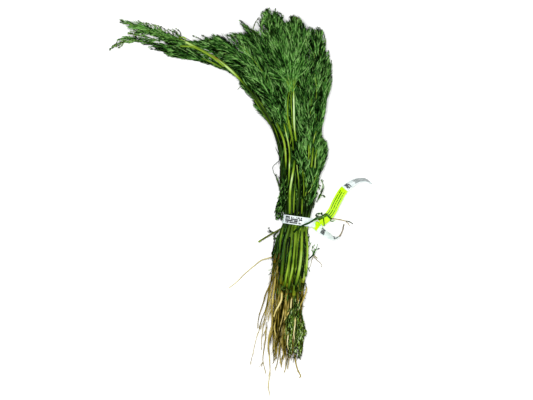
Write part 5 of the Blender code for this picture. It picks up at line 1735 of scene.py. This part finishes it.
def free_end(tie, stations, zones, marks, stain=(0, 0)):
    """One loose end of the tie, which rolls from lying flat onto its edge."""
    points, rolls = (np.array(column) for column in zip(*stations))
    line = smooth_line(points, FREE_END_RINGS)
    run = run_along(points)
    roll = np.radians(np.interp(np.linspace(0, run[-1], FREE_END_RINGS), run, rolls))
    level, upright = level_sides(line)
    wide = level * np.cos(roll)[:, None] + upright * np.sin(roll)[:, None]
    through = np.cross(wide, unit(np.gradient(line, axis=0)))
    tie.add(line, wide, through, TIE_WIDTH, zones, marks, stain=stain)


def build_tie(plants, materials):
    """The loop, the twist that closes it and the two free ends, as one piece."""
    tie = Tie()
    across, along = tie_axes()
    up = np.array([0, 0, 1.0])
    flat, outward = tie_loop(plants)
    middle = flat[:, :1] * across + flat[:, 1:] * up
    thick = outward[:, :1] * across + outward[:, 1:] * up
    level = np.tile(along, (len(middle), 1))
    left, right = PRINT_ACROSS
    printed_part = (outward[:, 1] > PRINT_FACING) & (flat[:, 0] > left) & (flat[:, 0] < right)
    reach = run_along(middle)[printed_part] / MM
    marks = ((reach.min(), reach.max(), 1),)
    tie.add(middle, level, thick, TIE_WIDTH, ((0, 0),), marks, closed=True)
    for half_turn in (0, math.pi):
        s = np.linspace(0, 1, TWIST_RINGS)
        angle = math.tau * s + half_turn
        reach = TWIST_AT - TWIST_OVERLAP + (TWIST_LENGTH + TWIST_OVERLAP) * s
        wide = along * np.cos(angle)[:, None] + up * np.sin(angle)[:, None]
        through = np.cross(across, wide)
        centre = across * reach[:, None] + up * TWIST_HEIGHT + through * TWIST_OFFSET
        tie.add(centre, wide, through, TWIST_WIDTH, ((0, 1),), ())
    free_end(tie, UPPER_END, UPPER_ZONES, UPPER_MARKS)
    free_end(tie, LOWER_END, LOWER_ZONES, LOWER_MARKS, LOWER_STAIN)
    made = tie.made("twist_tie_strip", materials)
    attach(made, "root")
    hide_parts("twist_tie")


class Shader:
    """A material's node tree, with short ways to add nodes."""

    def __init__(self, name, roughness, specular=0.5):
        self.material = bpy.data.materials.new(name)
        self.material.use_nodes = True
        self.tree = self.material.node_tree
        self.shader = self.tree.nodes["Principled BSDF"]
        self.shader.inputs["Roughness"].default_value = roughness
        self.shader.inputs["Specular IOR Level"].default_value = specular

    def put(self, socket, value):
        """Links a socket to another, or sets its value."""
        if isinstance(value, bpy.types.NodeSocket):
            self.tree.links.new(value, socket)
        elif socket.type == "RGBA" and len(value) == 3:
            socket.default_value = (*value, 1)
        else:
            socket.default_value = value

    def node(self, kind, **inputs):
        made = self.tree.nodes.new(kind)
        for key, value in inputs.items():
            self.put(made.inputs[key], value)
        return made

    def attribute(self, name, output="Fac"):
        made = self.tree.nodes.new("ShaderNodeAttribute")
        made.attribute_name = name
        return made.outputs[output]

    def math(self, operation, *values):
        made = self.tree.nodes.new("ShaderNodeMath")
        made.operation = operation
        for socket, value in zip(made.inputs, values):
            self.put(socket, value)
        return made.outputs[0]

    def place(self):
        return self.tree.nodes.new("ShaderNodeTexCoord").outputs["Object"]

    def noise(self, vector, scale, detail=2.0):
        return self.node("ShaderNodeTexNoise", Vector=vector, Scale=scale, Detail=detail).outputs[0]

    def stretched(self, vector, scale):
        return self.node("ShaderNodeMapping", Vector=vector, Scale=scale).outputs[0]

    def varied(self, base, *terms):
        """A value with (noise, weight) terms added, each centred on nothing."""
        for value, weight in terms:
            centred = self.math("SUBTRACT", value, 0.5)
            base = self.math("MULTIPLY_ADD", centred, weight, base)
        return base

    def ramp(self, factor, *stops):
        made = self.tree.nodes.new("ShaderNodeValToRGB")
        while len(made.color_ramp.elements) < len(stops):
            made.color_ramp.elements.new(0.5)
        for element, (place, colour) in zip(made.color_ramp.elements, stops):
            element.position = place
            element.color = (*colour, 1)
        self.put(made.inputs[0], factor)
        return made.outputs[0]

    def mix(self, factor, first, second):
        made = self.tree.nodes.new("ShaderNodeMix")
        made.data_type = "RGBA"
        for index, value in ((0, factor), (6, first), (7, second)):
            self.put(made.inputs[index], value)
        return made.outputs[2]

    def bump(self, height, strength, distance):
        made = self.node("ShaderNodeBump", Height=height, Strength=strength, Distance=distance)
        self.put(self.shader.inputs["Normal"], made.outputs[0])

    def finished(self, colour):
        self.put(self.shader.inputs["Base Color"], colour)
        return self.material


# Ramps of colour over the tone, from dark to light, and the second colour of each material, which is
# withered leaf, brown joint and green sheath. The pale top stops of the leaf and stalk ramps are
# painted highlights, which stand in for the glints of their weak specular.
LEAF_RAMP = (
    (0.0, (0.001, 0.005, 0.0005)),
    (0.22, (0.009, 0.038, 0.006)),
    (0.42, (0.030, 0.114, 0.018)),
    (0.62, (0.072, 0.225, 0.034)),
    (0.82, (0.134, 0.365, 0.060)),
    (1.0, (0.260, 0.505, 0.145)),
)
WITHERED_RAMP = ((0.10, (0.020, 0.016, 0.002)), (0.65, (0.26, 0.17, 0.035)))
STALK_RAMP = (
    (0.0, (0.001, 0.004, 0.0003)),
    (0.25, (0.019, 0.052, 0.002)),
    (0.50, (0.098, 0.190, 0.007)),
    (0.72, (0.250, 0.400, 0.030)),
    (0.90, (0.420, 0.600, 0.180)),
    (1.0, (0.600, 0.780, 0.400)),
)
BROWN = (0.30, 0.16, 0.008)
ROOT_RAMP = (
    (0.0, (0.008, 0.007, 0.0005)),
    (0.22, (0.056, 0.047, 0.004)),
    (0.45, (0.228, 0.174, 0.026)),
    (0.65, (0.460, 0.372, 0.098)),
    (0.85, (0.710, 0.632, 0.275)),
    (1.0, (0.890, 0.838, 0.500)),
)
SHEATH = (0.020, 0.032, 0.003)
# Colours of the tie: its two papers from crease to crease, their print and the stain on one end.
WHITE_PAPER = ((0.3, (0.58, 0.68, 0.67)), (0.7, (0.84, 0.90, 0.90)))
BLACK_PRINT = (0.030, 0.034, 0.038)
STAIN = ((0.42, (0.05, 0.04, 0.02)), (0.58, (0.42, 0.33, 0.20)))
YELLOW_PAPER = ((0.3, (0.40, 0.80, 0.0)), (0.7, (0.56, 0.96, 0.001)))
GREEN_PRINT = (0.01, 0.04, 0.002)


def leaf_material():
    m = Shader("leaf_green", 0.32, 0.0)
    patches = m.noise(m.place(), 110.0, 3.0)
    specks = m.noise(m.place(), 320.0, 2.0)
    tone = m.attribute("tone")
    # The along term makes each strand darker at its foot and lighter at its tip: painted shade and
    # light.
    tone = m.varied(tone, (patches, 0.35), (specks, 0.80), (m.attribute("along"), 0.14))
    green = m.ramp(tone, *LEAF_RAMP)
    withered = m.ramp(tone, *WITHERED_RAMP)
    return m.finished(m.mix(m.attribute("dry"), green, withered))


def streaky(m, lanes, detail, weight, patch_scale, stops, relief, second):
    """A colour by tone, with streaks along each strand and patches, and a second colour."""
    streaks = m.noise(m.stretched(m.attribute("lane", "Vector"), lanes), 1.0, detail)
    patches = m.noise(m.place(), patch_scale, 2.0)
    tone = m.varied(m.attribute("tone"), (streaks, weight), (patches, 0.60))
    colour = m.ramp(tone, *stops)
    m.bump(streaks, relief, 0.0004)
    return m.finished(m.mix(m.attribute("dry"), colour, second))


def stem_material():
    m = Shader("stalk_green", 0.26, 0.03)
    return streaky(m, (1.8, 1.8, 0.12), 3.0, 0.60, 60.0, STALK_RAMP, 0.3, BROWN)


def root_material():
    m = Shader("root_tan", 0.50, 0.0)
    return streaky(m, (1.5, 1.5, 0.5), 4.0, 0.50, 70.0, ROOT_RAMP, 0.4, SHEATH)


def between(m, value, low, high):
    """One where a value lies between two others, and nought elsewhere."""
    return m.math("MULTIPLY", m.math("GREATER_THAN", value, low), m.math("LESS_THAN", value, high))


# The distance from bar to bar of the print, in centimetres.
BAR_STEP = 0.16


def printed(m, paper, ink, cell, rows, share, thick, reach):
    """Paper with plain dashes or bars where the strip's corners ask for them.

    The dashes fill a share of cells this long, in rows this thick across the strip, out to a reach
    from its middle line. The bars cross it.
    """
    lane = m.tree.nodes.new("ShaderNodeSeparateXYZ")
    m.put(lane.inputs[0], m.attribute("lane", "Vector"))
    across, face, run = lane.outputs
    column = m.math("DIVIDE", run, cell * 100)
    row = m.math("MULTIPLY_ADD", across, rows / 2, rows / 2 + 0.5)
    spot = m.tree.nodes.new("ShaderNodeCombineXYZ")
    m.put(spot.inputs[0], m.math("FLOOR", column))
    m.put(spot.inputs[1], m.math("FLOOR", row))
    chance = m.tree.nodes.new("ShaderNodeTexWhiteNoise")
    m.put(chance.inputs["Vector"], spot.outputs[0])
    inked = m.math("LESS_THAN", chance.outputs["Value"], share)
    dashes = m.math("MULTIPLY", inked, m.math("COMPARE", m.math("FRACT", row), 0.5, thick))
    bars = m.math("LESS_THAN", m.math("FRACT", m.math("DIVIDE", run, BAR_STEP)), 0.50)
    kind = m.attribute("tone")
    marks = m.math("MULTIPLY", dashes, between(m, kind, 0.6, 1.4))
    marks = m.math("ADD", marks, m.math("MULTIPLY", bars, between(m, kind, 1.6, 2.4)))
    inner = m.math("LESS_THAN", m.math("ABSOLUTE", across), reach)
    shown = m.math("MULTIPLY", inner, m.math("GREATER_THAN", face, 0.0))
    return m.mix(m.math("MULTIPLY", marks, shown), paper, ink)


def creased(m, scale, paper):
    """Paper with fine creases."""
    creases = m.noise(m.place(), scale, 3.0)
    colour = m.ramp(creases, *paper)
    m.bump(creases, 0.25, 0.0003)
    return colour


def tie_white():
    m = Shader("tie_white", 0.42, 0.2)
    paper = creased(m, 180.0, WHITE_PAPER)
    marked = printed(m, paper, BLACK_PRINT, 0.0009, 5, 0.72, 0.44, 0.80)
    stains = m.ramp(m.noise(m.place(), 420.0, 2.0), *STAIN)
    return m.finished(m.mix(m.attribute("dry"), marked, stains))


def tie_yellow():
    m = Shader("tie_yellow_green", 0.40, 0.1)
    paper = creased(m, 160.0, YELLOW_PAPER)
    return m.finished(printed(m, paper, GREEN_PRINT, 0.0006, 4, 0.88, 0.20, 0.62))


# Camera and light. The picture is this wide and its middle is here, measured from the tie.
VIEW_WIDTH = 0.5863
VIEW_CENTRE = (-0.033, 0.02255)
VIEW_HEIGHT = 3.0
VIEW_LEVEL = 0.015
SENSOR = 36.0
LIGHTS = (
    ("key", (-0.07, 0.12, 2.20), 0.50, 48.0),
    ("fill", (0.90, -0.60, 1.60), 1.00, 8.0),
)
SKY = 0.28
FLOOR_SIZE = 10
FLOOR_BELOW = 0.0003


def floor_material():
    m = Shader("floor_white", 0.9, 0.1)
    grain = m.noise(m.place(), 6.0, 2.0)
    return m.finished(m.ramp(grain, (0.0, (0.95, 0.95, 0.95)), (1.0, (0.98, 0.98, 0.98))))


def stage():
    """The pale table, the soft lights and the camera that looks straight down."""
    middle = Vector((*VIEW_CENTRE, 0)) + Vector(SHIFT)
    place = (middle.x, middle.y, -FLOOR_BELOW)
    bpy.ops.mesh.primitive_plane_add(size=FLOOR_SIZE, location=place)
    floor = bpy.context.object
    floor.name = "floor"
    floor.data.materials.append(floor_material())
    scene = bpy.context.scene
    camera = bpy.data.objects.new("camera", bpy.data.cameras.new("camera"))
    scene.collection.objects.link(camera)
    camera.location = middle + Vector((0, 0, VIEW_HEIGHT))
    camera.data.sensor_width = SENSOR
    camera.data.lens = SENSOR * (VIEW_HEIGHT - VIEW_LEVEL) / VIEW_WIDTH
    scene.camera = camera
    scene.world = bpy.data.worlds.new("sky")
    scene.world.use_nodes = True
    background = scene.world.node_tree.nodes["Background"]
    background.inputs["Color"].default_value = (1, 1, 1, 1)
    background.inputs["Strength"].default_value = SKY
    for name, place, size, power in LIGHTS:
        light = bpy.data.objects.new(name, bpy.data.lights.new(name, "AREA"))
        scene.collection.objects.link(light)
        light.data.size = size
        light.data.energy = power
        light.location = middle + Vector(place)
        light.rotation_euler = Vector(place).to_track_quat("Z", "Y").to_euler()
    scene.view_settings.view_transform = "Standard"


def keep_clear(bare):
    """Keeps the leaves off the bright stalk of this plant, and off listed stalks that say so."""
    clear.add(bare.points(np.arange(CLEAR_FROM, bare.top - CLEAR_END, CLEAR_STEP)), CLEAR_WIDTH)
    for stalks in LAID_STALKS.values():
        for radii, rows_up, is_clear, *points in stalks:
            if is_clear:
                first, last = points[0], points[-1]
                reach = abs(first[1] - last[1]) + abs(first[0] - last[0])
                line = rows_up_line(points, rows_up, int(reach / CLEAR_STEP_IN_MM))
                clear.add(line, max(radii) * MM + CLEAR_MARGIN)


def main():
    leaf, stalk, root = leaf_material(), stem_material(), root_material()
    plants = all_plants()
    keep_clear(plants[STALK_PLANT])
    for plant in plants.values():
        strands = Strands()
        draw = plant.draw
        grow_stem(strands, plant, draw)
        grow_leaves(strands, plant, draw)
        if plant.place == PALE_PLANT:
            grow_fan(strands, draw)
        add_laid(strands, plant, draw)
        add_strays(strands, plant, draw)
        add_undergrowth(strands, plant, draw)
        add_low_leaves(strands, plant, draw)
        add_crown(strands, plant, draw)
        node = f"{plant.name}_leafy_stem"
        piece(strands, node + "_strands", (leaf, stalk), node)
        grow_root(plant, draw, (root,))
    build_tie(plants.values(), (tie_white(), tie_yellow()))
    stage()


main()
